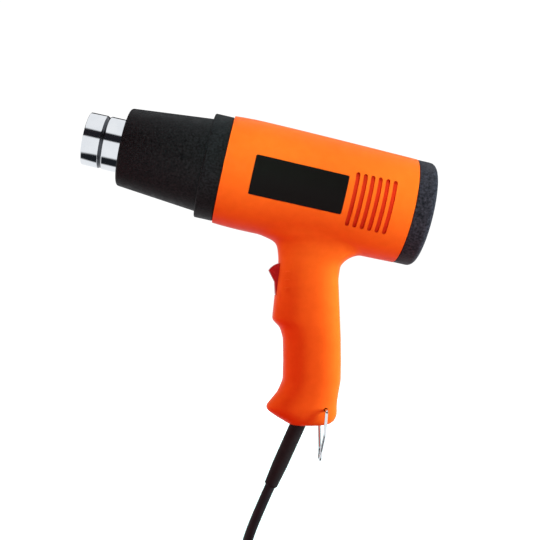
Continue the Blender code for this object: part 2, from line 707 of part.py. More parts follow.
def air_path(barrel, grey):
    disc_rear = FLANGE_REAR_X + GAP + DISC_THICKNESS
    start = disc_rear + GAP
    end = start + DUCT_LENGTH
    inner = DUCT_RADIUS - DUCT_WALL
    tube_wall = [(start, inner), (start, DUCT_RADIUS), (end, DUCT_RADIUS), (end, inner)]
    duct = add("air_duct", turned(tube_wall, 24), barrel, grey)
    slots = []
    slot_end = LEAD_SLOT_X + LEAD_SLOT_LENGTH
    for side in (-1.0, 1.0):
        y, z = heater_lead_seat(side, DUCT_RADIUS)
        half = LEAD_WIRE_RADIUS + 0.0008
        slots.append(block((LEAD_SLOT_X, y - half, z - 0.004), (slot_end, y + half, z + 0.004)))
    combine(duct, add("lead_slots", join(*slots), barrel))

    lap = DUCT_LAP
    seat = end + GAP
    ring_in = FAN_RING_RADIUS - FAN_RING_WALL
    rear = end + FAN_RING_LENGTH
    socket = DUCT_RADIUS + GAP
    lip = SHELL_BORE - GAP
    profile = [
        (end - lap, socket), (end - lap, socket + DUCT_WALL), (seat, socket + DUCT_WALL),
        (seat + 0.0030, FAN_RING_RADIUS), (rear - SPIDER_THICKNESS, FAN_RING_RADIUS),
        (rear - SPIDER_THICKNESS, lip), (rear, lip), (rear, ring_in), (seat + 0.0036, ring_in),
        (seat + 0.0016, inner), (seat, inner), (seat, socket)]
    ring = add("fan_housing", turned(profile, 24), barrel, grey)
    spoke_front = rear - SPIDER_THICKNESS
    tip = ring_in + 0.0005
    for i in range(2):
        spoke = block((spoke_front + GAP, -SPOKE_HALF_WIDTH, -tip), (rear - GAP, SPOKE_HALF_WIDTH, tip))
        bmesh.ops.rotate(spoke, verts=spoke.verts, matrix=Matrix.Rotation(math.pi * (0.25 + 0.5 * i), 3, "X"))
        combine(ring, add("spoke_%d" % (i + 1), spoke, barrel), "UNION")
    hub = add("spider_hub", rod((spoke_front, 0, 0), (rear, 0, 0), MOTOR_RADIUS - 0.0015, 24), barrel)
    combine(ring, hub, "UNION")
    eye = rod((spoke_front - 0.002, 0, 0), (rear + 0.002, 0, 0), MOTOR_NOSE_RADIUS + GAP, 20)
    combine(ring, add("spider_eye", eye, barrel))
    notches = []
    for side in (-1.0, 1.0):
        y, z = heater_lead_seat(side, SHELL_BORE)
        notches.append(block((spoke_front - 0.002, y - 0.0016, z - 0.004),
                             (rear + 0.002, y + 0.0016, z + 0.0026)))
    combine(ring, add("lead_notches", join(*notches), barrel))
    bores = [rod((spoke_front - 0.002, y, 0), (rear + 0.002, y, 0), MOTOR_SCREW_RADIUS + GAP, 12)
             for y in (-MOTOR_SCREW_OFFSET, MOTOR_SCREW_OFFSET)]
    combine(ring, add("spider_bores", join(*bores), barrel))
    return rear


def heater_lead_seat(side, radius):
    """Where a heater lead lies on a circle round the barrel's axis, beside its lowest point."""
    return side * radius * math.sin(HEATER_LEAD_ANGLE), -radius * math.cos(HEATER_LEAD_ANGLE)


def impeller(fan_frame, grey):
    """A hub with twisted blades, drawn round its own spin axis."""
    bore = SHAFT_RADIUS + GAP
    hub = turned([(0.0, bore), (0.0, FAN_HUB_RADIUS - 0.002), (0.002, FAN_HUB_RADIUS),
                  (FAN_HUB_LENGTH, FAN_HUB_RADIUS), (FAN_HUB_LENGTH, bore)], 24)
    fan = add("impeller", hub, fan_frame, grey)
    tip = FAN_RING_RADIUS - FAN_RING_WALL - FAN_TIP_GAP
    root = FAN_HUB_RADIUS - 0.0012
    half = BLADE_HALF_THICKNESS
    blades = []
    for i in range(FAN_BLADES):
        turn = 2.0 * math.pi * i / FAN_BLADES
        rings = []
        sections = ((root, 0.85, 0.0052), ((root + tip) / 2.0, 0.60, 0.0058), (tip, 0.42, 0.0060))
        for radius, pitch, reach in sections:
            ring = []
            for along, across in ((-reach, -half), (reach, -half), (reach, half), (-reach, half)):
                x = FAN_HUB_LENGTH / 2.0 + along * math.sin(pitch) + across * math.cos(pitch)
                around = turn + (along * math.cos(pitch) - across * math.sin(pitch)) / radius
                ring.append((x, radius * math.cos(around), radius * math.sin(around)))
            rings.append(ring)
        blades.append(loft(rings))
    combine(fan, add("fan_blades", join(*blades), fan_frame), "UNION")


def motor(barrel, fan_frame, front, steel, dark, brass, copper):
    bore = SHAFT_RADIUS + GAP
    rear = front + GAP + MOTOR_LENGTH
    face = front + GAP
    inner = MOTOR_RADIUS - MOTOR_WALL
    nose = front - SPIDER_THICKNESS + 0.0006
    can = add("motor_can", turned([
        (nose, bore), (nose, MOTOR_NOSE_RADIUS), (face, MOTOR_NOSE_RADIUS), (face, MOTOR_RADIUS - 0.001),
        (face + 0.001, MOTOR_RADIUS), (rear, MOTOR_RADIUS), (rear, inner), (face + 0.002, inner),
        (face + 0.002, bore)], 32), barrel, steel)
    taps = [rod((face - 0.001, y, 0), (face + 0.003, y, 0), MOTOR_SCREW_RADIUS + GAP, 12)
            for y in (-MOTOR_SCREW_OFFSET, MOTOR_SCREW_OFFSET)]
    combine(can, add("motor_taps", join(*taps), barrel))
    magnet_out = inner - GAP
    magnet_in = magnet_out - MAGNET_WALL
    add("magnet_ring", turned([(face + 0.006, magnet_in), (face + 0.006, magnet_out),
                               (rear - 0.006, magnet_out), (rear - 0.006, magnet_in)], 24), barrel, dark)
    bell_front = rear + GAP
    bell_rear = bell_front + MOTOR_BELL_LENGTH
    add("motor_end_bell", turned([
        (bell_front, bore), (bell_front, MOTOR_RADIUS), (bell_rear - 0.001, MOTOR_RADIUS),
        (bell_rear, MOTOR_RADIUS - 0.001), (bell_rear, bore)], 32), barrel, dark)

    spin_x = FAN_FRONT_X
    shaft_front = -0.0020
    shaft_rear = bell_rear - 0.0006 - spin_x
    add("motor_shaft", rod((shaft_front, 0, 0), (shaft_rear, 0, 0), SHAFT_RADIUS, 12), fan_frame, steel)
    core_front = face + 0.008 - spin_x
    core_rear = rear - 0.012 - spin_x
    core_out = magnet_in - ARMATURE_GAP
    add("armature_core", turned([(core_front, bore), (core_front, core_out), (core_rear, core_out),
                                 (core_rear, bore)], 24), fan_frame, copper)
    add("commutator", turned([(core_rear + 0.001, bore), (core_rear + 0.001, COMMUTATOR_RADIUS),
                              (core_rear + 0.008, COMMUTATOR_RADIUS), (core_rear + 0.008, bore)], 20),
        fan_frame, brass)

    head = front - SPIDER_THICKNESS - GAP
    for i, y in enumerate((-MOTOR_SCREW_OFFSET, MOTOR_SCREW_OFFSET)):
        profile = [(head - 0.0014, 0.0), (head - 0.0014, 0.0016), (head - 0.0009, 0.0021), (head, 0.0021),
                   (head, 0.0012), (face + 0.0018, 0.0012), (face + 0.0018, 0.0)]
        add("motor_screw_%d" % (i + 1), turned(profile, 12), barrel, steel, (0.0, y, 0.0))
    return bell_rear


def rectifier(barrel, bell_rear, green):
    front = bell_rear + GAP
    rear = front + BOARD_THICKNESS
    board = add("rectifier_board", turned([(front, 0.0030), (front, BOARD_RADIUS), (rear, BOARD_RADIUS),
                                           (rear, 0.0030)], 28), barrel, green)
    parts = [block((rear - 0.0004, y - 0.0013, -0.0028), (rear + 0.0026, y + 0.0013, 0.0028))
             for y in (-0.0085, -0.0052, 0.0052, 0.0085)]
    combine(board, add("diodes", join(*parts), barrel), "UNION")
    return rear


def rear_cap(barrel, black):
    seam = SHELL_LENGTH + GAP
    back = SHELL_LENGTH + CAP_LENGTH
    spigot = SHELL_BORE - GAP
    inner = spigot - SPIGOT_WALL
    profile = [(back, 0.0)]
    for i in range(5):
        angle = math.radians(90.0 * i / 4.0)
        profile.append((back - CAP_EDGE + CAP_EDGE * math.cos(angle),
                        CAP_RADIUS - CAP_EDGE + CAP_EDGE * math.sin(angle)))
    profile += [(seam, CAP_RADIUS), (seam, spigot), (seam - CAP_SPIGOT_LENGTH, spigot),
                (seam - CAP_SPIGOT_LENGTH, inner), (back - CAP_WALL, inner), (back - CAP_WALL, 0.0)]
    cap = add("rear_cap", turned(profile, 28), barrel, black)
    slots = []
    for i in range(GRILLE_SLOTS):
        half = GRILLE_SLOT_WIDTH / 2.0
        slot = block((back - 0.006, -half, GRILLE_INNER_RADIUS), (back + 0.002, half, GRILLE_OUTER_RADIUS))
        bmesh.ops.rotate(slot, verts=slot.verts,
                         matrix=Matrix.Rotation(2.0 * math.pi * i / GRILLE_SLOTS, 3, "X"))
        slots.append(slot)
    combine(cap, add("grille_slots", join(*slots), barrel))


def rocker_outline():
    """Side outline of the rocker about its pin, upper wing out, in (x, z)."""
    outline = []
    for share in (1.0, 0.75, 0.5, 0.25, 0.0):
        angle = ROCKER_TIP_ANGLE + (ROCKER_TAIL_ANGLE - ROCKER_TIP_ANGLE) * share - ROCKER_REST_TURN
        outline.append((-ROCKER_SWEEP * math.cos(angle), ROCKER_SWEEP * math.sin(angle)))
    waist = -ROCKER_REST_TURN
    outline.append((-ROCKER_WAIST * math.cos(waist), ROCKER_WAIST * math.sin(waist)))
    for share in (0.0, 0.25, 0.5, 0.75, 1.0):
        angle = -ROCKER_TIP_ANGLE - (ROCKER_TAIL_ANGLE - ROCKER_TIP_ANGLE) * share - ROCKER_REST_TURN
        outline.append((-ROCKER_SWEEP * math.cos(angle), ROCKER_SWEEP * math.sin(angle)))
    back = PIN_RADIUS + 0.0020
    for lift in (-1.0, 1.0):
        angle = ROCKER_REST_TURN
        outline.append((back * math.cos(angle) + lift * 0.003 * math.sin(angle),
                        -back * math.sin(angle) + lift * 0.003 * math.cos(angle)))
    return outline


def switch(handle, red, black, steel):
    pivot = (ROCKER_PIVOT_X, 0.0, ROCKER_PIVOT_Z)
    rocker = add("rocker", slab(rocker_outline(), ROCKER_WIDTH), handle, red, pivot)
    eye = add("rocker_eye", rod((0, -0.02, 0), (0, 0.02, 0), PIN_RADIUS + GAP, 16), handle, None, pivot)
    combine(rocker, eye)
    length = SWITCH_WIDTH - 0.0006
    add("rocker_pin", rod((0, -length / 2.0, 0), (0, length / 2.0, 0), PIN_RADIUS, 12), handle, steel, pivot)

    half = SWITCH_WIDTH / 2.0
    x, z = ROCKER_PIVOT_X, ROCKER_PIVOT_Z
    reach = SWITCH_HEIGHT / 2.0
    back = SWITCH_FRONT_X + SWITCH_DEPTH
    core = block((SWITCH_FRONT_X, -half, z - reach), (back, half, z + reach))
    body = add("switch_body", core, handle, black)
    ear_in = ROCKER_WIDTH / 2.0 + GAP
    ear_front = x - PIN_RADIUS - 4.0 * GAP
    for i, side in enumerate((-1.0, 1.0)):
        low, high = sorted((side * ear_in, side * half))
        ear = block((ear_front, low, z - SWITCH_EAR_HEIGHT / 2.0),
                    (SWITCH_FRONT_X + 0.001, high, z + SWITCH_EAR_HEIGHT / 2.0))
        combine(body, add("switch_ear_%d" % (i + 1), ear, handle), "UNION")
    combine(body, add("ear_bore", rod((x, -0.02, z), (x, 0.02, z), PIN_RADIUS + GAP, 16), handle))
    terminals = []
    for lift in (-SWITCH_TAB_STEP, 0.0, SWITCH_TAB_STEP):
        terminals.append(block((back - 0.001, -0.0045, z + lift - 0.0015),
                               (back + SWITCH_TAB_LENGTH, -0.0037, z + lift + 0.0015)))
    combine(body, add("switch_tabs", join(*terminals), handle), "UNION")


def bail_points():
    """One half of the hanging loop about its pivot, hanging straight down, as (y, z)."""
    leg_y = bail_leg_y()
    hook_y = leg_y - BAIL_SIDE_GAP - BAIL_HOOK_DEPTH
    corner = 0.0016
    half = [(hook_y, 0.0), (leg_y - corner, 0.0), (leg_y - 0.3 * corner, -0.3 * corner), (leg_y, -corner),
            (leg_y, -BAIL_LEG)]
    end = BAIL_END_HALF_WIDTH
    turn_z = -BAIL_LENGTH + end
    half += [(leg_y * 0.93 + end * 0.07, -BAIL_LEG - 0.0030), (end * 1.25, turn_z + 0.0030)]
    for i in range(4):
        angle = math.radians(90.0 * i / 4.0)
        half.append((end * math.cos(angle), turn_z - end * math.sin(angle)))
    return half


def bail_leg_y():
    return handle_half_thickness(BAIL_PIVOT_Z) + BAIL_SIDE_GAP + BAIL_WIRE_RADIUS


def bail(handle, chrome):
    half = bail_points()
    path = half + [(0.0, -BAIL_LENGTH)] + [(-y, z) for y, z in reversed(half)]
    points = [(0.0, y, z) for y, z in path]
    loop = tube("bail", points, BAIL_WIRE_RADIUS, chrome, handle, 2)
    loop.location = (BAIL_PIVOT_X, 0.0, BAIL_PIVOT_Z)
    loop.rotation_euler = (0.0, BAIL_TILT, 0.0)


def bail_cutter(handle):
    x, z = BAIL_PIVOT_X, BAIL_PIVOT_Z
    return add("bail_cutter", rod((x, -0.05, z), (x, 0.05, z), BAIL_WIRE_RADIUS + 2.0 * GAP, 16), handle)


def cord_axis(along):
    """A point (x, z) on the cord's axis in the handle's frame, from the exit outwards."""
    return (CORD_EXIT_X - along * math.sin(CORD_LEAN), HANDLE_BOTTOM_Z - along * math.cos(CORD_LEAN))


def cord_line(low, high, radius, segments):
    x1, z1 = cord_axis(low)
    x2, z2 = cord_axis(high)
    return rod((x1, 0, z1), (x2, 0, z2), radius, segments)


def relief_cutter(handle):
    return add("relief_cutter", cord_line(RELIEF_FLANGE_AT, 0.02, RELIEF_ROOT_RADIUS + GAP, 24), handle)


def clamp_screw_places():
    """The clamp's two screws, one on each side of the cord, as (x, z)."""
    x, z = cord_axis(TAIL_MIDDLE)
    dx, dz = CLAMP_POST_SPACING * math.cos(CORD_LEAN), -CLAMP_POST_SPACING * math.sin(CORD_LEAN)
    return (x - dx, z - dz), (x + dx, z + dz)


def strain_relief(handle, rubber):
    """A tapered sleeve with a flange that is trapped inside the handle."""
    back = RELIEF_FLANGE_AT - RELIEF_FLANGE_THICKNESS
    rings = ((back, RELIEF_FLANGE_RADIUS), (RELIEF_FLANGE_AT, RELIEF_FLANGE_RADIUS),
             (RELIEF_FLANGE_AT, RELIEF_ROOT_RADIUS), (RELIEF_STRAIGHT, RELIEF_ROOT_RADIUS - 0.0001),
             (RELIEF_LENGTH, RELIEF_TIP_RADIUS))
    profile = [(back, 0.0)] + list(rings) + [(RELIEF_LENGTH, 0.0)]
    body = turned(profile, 20)
    x, z = cord_axis(0.0)
    down = Vector((-math.sin(CORD_LEAN), 0.0, -math.cos(CORD_LEAN)))
    turn = down.to_track_quat("X", "Y").to_matrix().to_4x4()
    bmesh.ops.transform(body, verts=body.verts, matrix=Matrix.Translation((x, 0.0, z)) @ turn)
    add("strain_relief", body, handle, rubber)


def cord_entry(handle, rubber, grey, steel):
    """The cord's clamped end inside the handle."""
    end = RELIEF_FLANGE_AT - RELIEF_FLANGE_THICKNESS - GAP
    add("cord_tail", cord_line(TAIL_MIDDLE - TAIL_HALF, end, CORD_RADIUS, 16), handle, rubber)
    x, z = cord_axis(TAIL_MIDDLE)
    inner = CORD_RADIUS + 0.0006
    wide = CLAMP_POST_SPACING + BOSS_RADIUS
    foot = HALF_GAP
    outer = inner + CLAMP_WALL
    top = CORD_RADIUS + GAP + CLAMP_WALL
    outline = [(-wide, foot), (-inner, foot), (-inner, CORD_RADIUS + GAP), (inner, CORD_RADIUS + GAP),
               (inner, foot), (wide, foot), (wide, foot + CLAMP_FOOT), (outer, foot + CLAMP_FOOT),
               (outer - 0.0005, top), (0.0005 - outer, top), (-outer, foot + CLAMP_FOOT),
               (-wide, foot + CLAMP_FOOT)]
    rings = [[(px, py, lift) for px, py in outline] for lift in (-CLAMP_HALF_WIDTH, CLAMP_HALF_WIDTH)]
    clamp = add("cord_clamp", loft(rings), handle, grey, (x, 0.0, z))
    clamp.rotation_euler = (0.0, CORD_LEAN, 0.0)
    for i, (sx, sz) in enumerate(clamp_screw_places()):
        bore = rod((sx, -0.01, sz), (sx, 0.01, sz), SCREW_SHANK_RADIUS + GAP, 12)
        combine(clamp, add("clamp_hole_%d" % (i + 1), bore, handle))
        head_y = foot + CLAMP_FOOT + GAP + SCREW_HEAD_HEIGHT
        screw("clamp_screw_%d" % (i + 1), handle, steel, sx, sz, head_y, -CLAMP_SCREW_REACH)


def suppressor(handle, blue):
    deep, wide, high = CAPACITOR_SIZE
    low = (CAPACITOR_BACK_X - deep, -wide / 2.0, CAPACITOR_Z - high / 2.0)
    add("capacitor", block(low, (CAPACITOR_BACK_X, wide / 2.0, CAPACITOR_Z + high / 2.0)), handle, blue)


def from_handle(x, y, z):
    """A point of the handle's frame, in barrel axes."""
    along = HANDLE_ROOT_X + x * math.cos(RAKE) - z * math.sin(RAKE)
    return along, y, x * math.sin(RAKE) + z * math.cos(RAKE)


def heater_lead_end(side, duct_front):
    """The forward run of a lead: along the fan ring, through the duct's slot and on to the disc."""
    outside = (FAN_RING_RADIUS + SHELL_BORE) / 2.0
    run = []
    for x, radius in ((0.0725, outside + 0.0008), (0.0680, outside + 0.0001), (0.0620, outside),
                      (0.0480, outside - 0.0001), (0.0350, outside - 0.0008), (0.0265, outside - 0.0045),
                      (0.0200, outside - 0.0080), (0.0120, DUCT_RADIUS - 0.0044),
                      (duct_front, DUCT_RADIUS - 0.0046)):
        y, z = heater_lead_seat(side, radius)
        run.append((x, y, z))
    return run


def inner_leads(barrel, disc_rear, board_rear, brown, blue, red, black):
    """Single wires: cord to switch, cord to heater, switch to heater and switch to rectifier."""
    tab_x = SWITCH_FRONT_X + SWITCH_DEPTH + SWITCH_TAB_LENGTH + 2.0 * GAP
    z = ROCKER_PIVOT_Z
    tail_x, tail_z = cord_axis(TAIL_MIDDLE - TAIL_HALF - 2.0 * GAP)
    rise_x, rise_z = cord_axis(TAIL_MIDDLE - TAIL_HALF - 2.0 * GAP - 0.003)
    front = disc_rear + GAP

    live = [from_handle(tail_x, -0.0012, tail_z), from_handle(rise_x, -0.0012, rise_z),
            from_handle(0.0045, -0.0035, -0.1150), from_handle(0.0035, -0.0045, -0.0950),
            from_handle(0.0058, -0.0045, -0.0790),
            from_handle(tab_x + 0.0028, -0.0041, z - SWITCH_TAB_STEP),
            from_handle(tab_x, -0.0041, z - SWITCH_TAB_STEP)]
    tube("live_lead", curve_points(live, 14), LEAD_WIRE_RADIUS, brown, barrel, 1)

    neutral = [from_handle(tail_x, 0.0012, tail_z), from_handle(rise_x, 0.0012, rise_z),
               from_handle(0.0045, 0.0035, -0.1150), from_handle(0.0035, 0.0045, -0.0950),
               from_handle(0.0062, 0.0050, -0.0780), from_handle(0.0090, 0.0060, -0.0600),
               (0.0770, 0.0085, -0.0400)]
    neutral += heater_lead_end(1.0, front)
    tube("neutral_lead", curve_points(neutral, 26), LEAD_WIRE_RADIUS, blue, barrel, 1)

    heater_lead = [from_handle(tab_x, -0.0041, z), from_handle(tab_x + 0.0028, -0.0041, z),
                   from_handle(tab_x + 0.0050, -0.0065, z + 0.0090), (0.0765, -0.0085, -0.0400)]
    heater_lead += heater_lead_end(-1.0, front)
    tube("heater_lead", curve_points(heater_lead, 22), LEAD_WIRE_RADIUS, red, barrel, 1)

    motor_lead = [from_handle(tab_x, -0.0041, z + SWITCH_TAB_STEP),
                  from_handle(tab_x + 0.0028, -0.0041, z + SWITCH_TAB_STEP), (0.0850, -0.0030, -0.0380),
                  (0.0840, -0.0070, -0.0260), (0.0950, -0.0090, -0.0200), (0.1090, -0.0085, -0.0180),
                  (0.1175, -0.0070, -0.0160), (board_rear + 0.0040, -0.0030, -0.0095),
                  (board_rear + 2.0 * GAP, -0.0024, -0.0090)]
    tube("motor_lead", curve_points(motor_lead, 20), LEAD_WIRE_RADIUS, black, barrel, 1)


def cord_coil_points():
    """A neat coil in two layers: in along the bottom one, up in the turn back, out along the top one."""
    per_turn = COIL_POINTS_PER_TURN
    count = int(per_turn * COIL_TURNS_PER_LAYER)
    total = 2 * count
    outer = COIL_RADIUS + COIL_PITCH * COIL_TURNS_PER_LAYER / 2.0
    points = []
    for i in range(total + 1):
        angle = COIL_END_ANGLE + 2.0 * math.pi * (i - total) / per_turn
        radius = outer - COIL_PITCH * min(i, total - i) / per_turn
        climb = min(max((i - count + per_turn / 4.0) / (per_turn / 2.0), 0.0), 1.0)
        z = COIL_LAYER_STEP * climb * climb * (3.0 - 2.0 * climb)
        points.append(COIL_CENTRE + Vector((radius * math.cos(angle), radius * math.sin(angle), z)))
    return points


def coil_gap(points):
    """Least clear distance between the coil's turns, on its own points."""
    least = 1.0
    for i in range(len(points)):
        for j in range(i + 10, len(points)):
            least = min(least, (points[i] - points[j]).length)
    return least - 2.0 * CORD_RADIUS


def straight_ends(points):
    """Adds one diameter of straight tube at both ends."""
    length = 2.0 * CORD_RADIUS
    head = points[0] + (points[0] - points[1]).normalized() * length
    tail = points[-1] + (points[-1] - points[-2]).normalized() * length
    return [head] + points + [tail]


def path_length(points):
    return sum((b - a).length for a, b in zip(points, points[1:]))


def rounded_box(low, high, corner, steps=3):
    """Outline of a rectangle with round corners, as (across, up)."""
    outline = []
    centres = ((high[0] - corner, high[1] - corner), (low[0] + corner, high[1] - corner),
               (low[0] + corner, low[1] + corner), (high[0] - corner, low[1] + corner))
    for k, (cx, cz) in enumerate(centres):
        for i in range(steps + 1):
            angle = math.pi / 2.0 * (k + i / steps)
            outline.append((cx + corner * math.cos(angle), cz + corner * math.sin(angle)))
    return outline


def cord_tie(rubber):
    """A flat band round the coil's turns."""
    reach = CORD_RADIUS + GAP
    outer = COIL_RADIUS + COIL_PITCH * COIL_TURNS_PER_LAYER / 2.0
    inner = COIL_RADIUS - COIL_PITCH * COIL_TURNS_PER_LAYER / 2.0
    low = (inner - reach, -reach)
    high = (outer + reach, COIL_LAYER_STEP + reach)
    inside = rounded_box(low, high, CORD_RADIUS)
    t = TIE_THICKNESS
    outside = rounded_box((low[0] - t, low[1] - t), (high[0] + t, high[1] + t), CORD_RADIUS + t)
    bm = bmesh.new()
    rows = []
    for outline, side in ((inside, -0.5), (outside, -0.5), (outside, 0.5), (inside, 0.5)):
        rows.append([bm.verts.new((x, side * TIE_WIDTH, z)) for x, z in outline])
    for near, far in zip(rows, rows[1:] + rows[:1]):
        for i in range(len(near)):
            bm.faces.new((near[i - 1], near[i], far[i], far[i - 1]))
    tie = add("cord_tie", bm, None, rubber, COIL_CENTRE)
    tie.rotation_euler = (0.0, 0.0, TIE_ANGLE)


def plug(rubber, steel):
    """A moulded two-pin plug that lies on the floor, its pins towards -X."""
    x, y, z = PLUG_ROUTE[-1]
    face = PLUG_LENGTH
    half_w, half_h = PLUG_HALF_WIDTH, PLUG_HALF_HEIGHT
    neck = CORD_RADIUS + 0.0012
    stations = ((GAP, neck, neck, 2.0), (0.75 * PLUG_NECK_LENGTH, neck + 0.0007, neck + 0.0007, 2.0),
                (PLUG_NECK_LENGTH, 0.5 * half_w, 0.58 * half_h, 2.2),
                (PLUG_NECK_LENGTH + 0.005, 0.74 * half_w, 0.82 * half_h, 2.6),
                (PLUG_NECK_LENGTH + 0.012, 0.92 * half_w, 0.96 * half_h, 3.0),
                (face - 0.012, half_w, half_h, 3.4), (face - 0.0012, half_w, half_h, 3.4),
                (face, half_w - 0.0010, half_h - 0.0010, 3.4))
    rings = []
    for along, wide, high, square in stations:
        ring = []
        for i in range(20):
            angle = 2.0 * math.pi * (i + 0.5) / 20.0
            c, s = math.cos(angle), math.sin(angle)
            ring.append((-along, wide * math.copysign(abs(c) ** (2.0 / square), c),
                         high * math.copysign(abs(s) ** (2.0 / square), s)))
        rings.append(ring)
    body = add("plug_body", loft(rings), None, rubber, (x, y, z))
    root = -face + PLUG_PIN_ROOT
    tip = -face - PLUG_PIN_LENGTH
    for i, side in enumerate((-1.0, 1.0)):
        across = side * PLUG_PIN_OFFSET
        bore = rod((root + GAP, across, 0), (tip, across, 0), PLUG_PIN_RADIUS + GAP, 16)
        combine(body, add("plug_bore_%d" % (i + 1), bore, None, None, (x, y, z)))
        pin = turned([(tip, 0.0), (tip, PLUG_PIN_RADIUS - 0.0008), (tip + 0.0012, PLUG_PIN_RADIUS),
                      (root, PLUG_PIN_RADIUS), (root, 0.0)], 14)
        add("plug_pin_%d" % (i + 1), pin, None, steel, (x, y + across, z))


def mains_cord(rubber, steel):
    coil = straight_ends(cord_coil_points())
    tube("cord_coil", coil, CORD_RADIUS, rubber, None, 1)
    lead = curve_points(CORD_ROUTE, 14)
    tube("cord_lead", lead, CORD_RADIUS, rubber)
    plug_lead = curve_points(PLUG_ROUTE, 10)
    tube("cord_plug_lead", plug_lead, CORD_RADIUS, rubber)
    cord_tie(rubber)
    plug(rubber, steel)
    print("least gap in the coil, mm:", round(1000.0 * coil_gap(coil[1:-1]), 3))
    print("cord length, m:", round(path_length(coil) + path_length(lead) + path_length(plug_lead), 3))


def main():
    clear_scene()
    orange = finish("orange_nylon", (0.86, 0.20, 0.02), 0.42)
    black = finish("black_plastic", (0.012, 0.013, 0.015), 0.55)
    label_black = finish("black_label", (0.010, 0.010, 0.012), 0.30)
    rubber = finish("black_rubber", (0.015, 0.015, 0.017), 0.60)
    chrome = finish("plated_steel", (0.80, 0.81, 0.83), 0.12, 1.0)
    steel = finish("zinc_steel", (0.55, 0.56, 0.58), 0.35, 1.0)
    red = finish("red_plastic", (0.50, 0.02, 0.03), 0.35)
    grey = finish("grey_plastic", (0.20, 0.20, 0.21), 0.50)
    mica = finish("mica", (0.55, 0.47, 0.33), 0.60)
    ceramic = finish("ceramic", (0.78, 0.74, 0.66), 0.70)
    wire = finish("resistance_wire", (0.36, 0.33, 0.30), 0.40, 1.0)
    copper = finish("copper", (0.70, 0.32, 0.18), 0.40, 1.0)
    brass = finish("brass", (0.75, 0.58, 0.28), 0.35, 1.0)
    dark = finish("dark_ferrite", (0.05, 0.05, 0.055), 0.60)
    green = finish("green_board", (0.03, 0.20, 0.08), 0.50)
    blue = finish("blue_plastic", (0.03, 0.10, 0.45), 0.45)
    brown = finish("brown_plastic", (0.20, 0.07, 0.03), 0.45)

    barrel = frame_empty("barrel_frame", BARREL_AT)
    handle = frame_empty("handle_frame", BARREL_AT + Vector((HANDLE_ROOT_X, 0.0, 0.0)), -RAKE)
    fan_frame = frame_empty("fan_axis", BARREL_AT + Vector((FAN_FRONT_X, 0.0, 0.0)))

    housing(barrel, handle, orange)
    labels(barrel, label_black)
    housing_screws(barrel, handle, steel)
    heat_shield(barrel, black)
    nozzle(barrel, chrome)
    heater(barrel, mica, ceramic, wire, steel)
    fan_rear = air_path(barrel, grey)
    impeller(fan_frame, grey)
    bell_rear = motor(barrel, fan_frame, fan_rear, steel, dark, brass, copper)
    board_rear = rectifier(barrel, bell_rear, green)
    rear_cap(barrel, black)
    switch(handle, red, black, steel)
    bail(handle, chrome)
    strain_relief(handle, rubber)
    cord_entry(handle, rubber, grey, steel)
    suppressor(handle, blue)
    inner_leads(barrel, FLANGE_REAR_X + GAP + DISC_THICKNESS, board_rear, brown, blue, red, black)
    mains_cord(rubber, steel)


main()
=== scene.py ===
"""Looks of the hot air tool: fine shells, procedural finishes, the mains cord, light and camera."""
import math

import bmesh
import bpy
import numpy as np
from mathutils import Matrix, Vector


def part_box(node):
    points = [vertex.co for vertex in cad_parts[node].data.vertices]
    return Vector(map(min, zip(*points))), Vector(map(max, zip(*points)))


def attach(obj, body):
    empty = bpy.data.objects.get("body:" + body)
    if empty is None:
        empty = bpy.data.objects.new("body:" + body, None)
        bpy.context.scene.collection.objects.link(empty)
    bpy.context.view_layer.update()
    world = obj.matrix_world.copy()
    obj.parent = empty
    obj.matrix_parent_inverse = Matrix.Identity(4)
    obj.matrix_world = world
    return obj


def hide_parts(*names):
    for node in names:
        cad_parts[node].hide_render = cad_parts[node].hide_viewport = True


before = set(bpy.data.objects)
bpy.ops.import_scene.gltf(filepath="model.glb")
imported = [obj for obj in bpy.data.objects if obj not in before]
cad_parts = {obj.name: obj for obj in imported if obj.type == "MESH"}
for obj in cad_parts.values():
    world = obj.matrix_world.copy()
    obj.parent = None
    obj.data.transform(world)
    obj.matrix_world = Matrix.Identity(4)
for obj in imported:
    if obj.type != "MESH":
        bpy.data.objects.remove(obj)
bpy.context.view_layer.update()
MM = 0.001
DEG = math.pi / 180.0
TURN = 2.0 * math.pi
SHARP_TURN = 35.0 * DEG

# Frames of the tool: the barrel's axis lies along X, and the handle hangs at a rake below it
BARREL_AT = Vector((-0.083, 0.0, 0.100))
HANDLE_ROOT_X = 60.1 * MM
RAKE = 12.6 * DEG
BARREL = Matrix.Translation(BARREL_AT)
HANDLE_IN_BARREL = Matrix.Translation((HANDLE_ROOT_X, 0.0, 0.0)) @ Matrix.Rotation(-RAKE, 4, "Y")
HANDLE = BARREL @ HANDLE_IN_BARREL

# Camera, from the photo's perspective
IMAGE_PIXELS = 540
FOCAL_PIXELS = 880.0
SENSOR = 36.0
CAMERA_DISTANCE = 0.592
CAMERA_CLIP = 0.01
CAMERA_AZIMUTH = -3.0 * DEG
CAMERA_TARGET = Vector((-0.0380, 0.0, 0.0412))

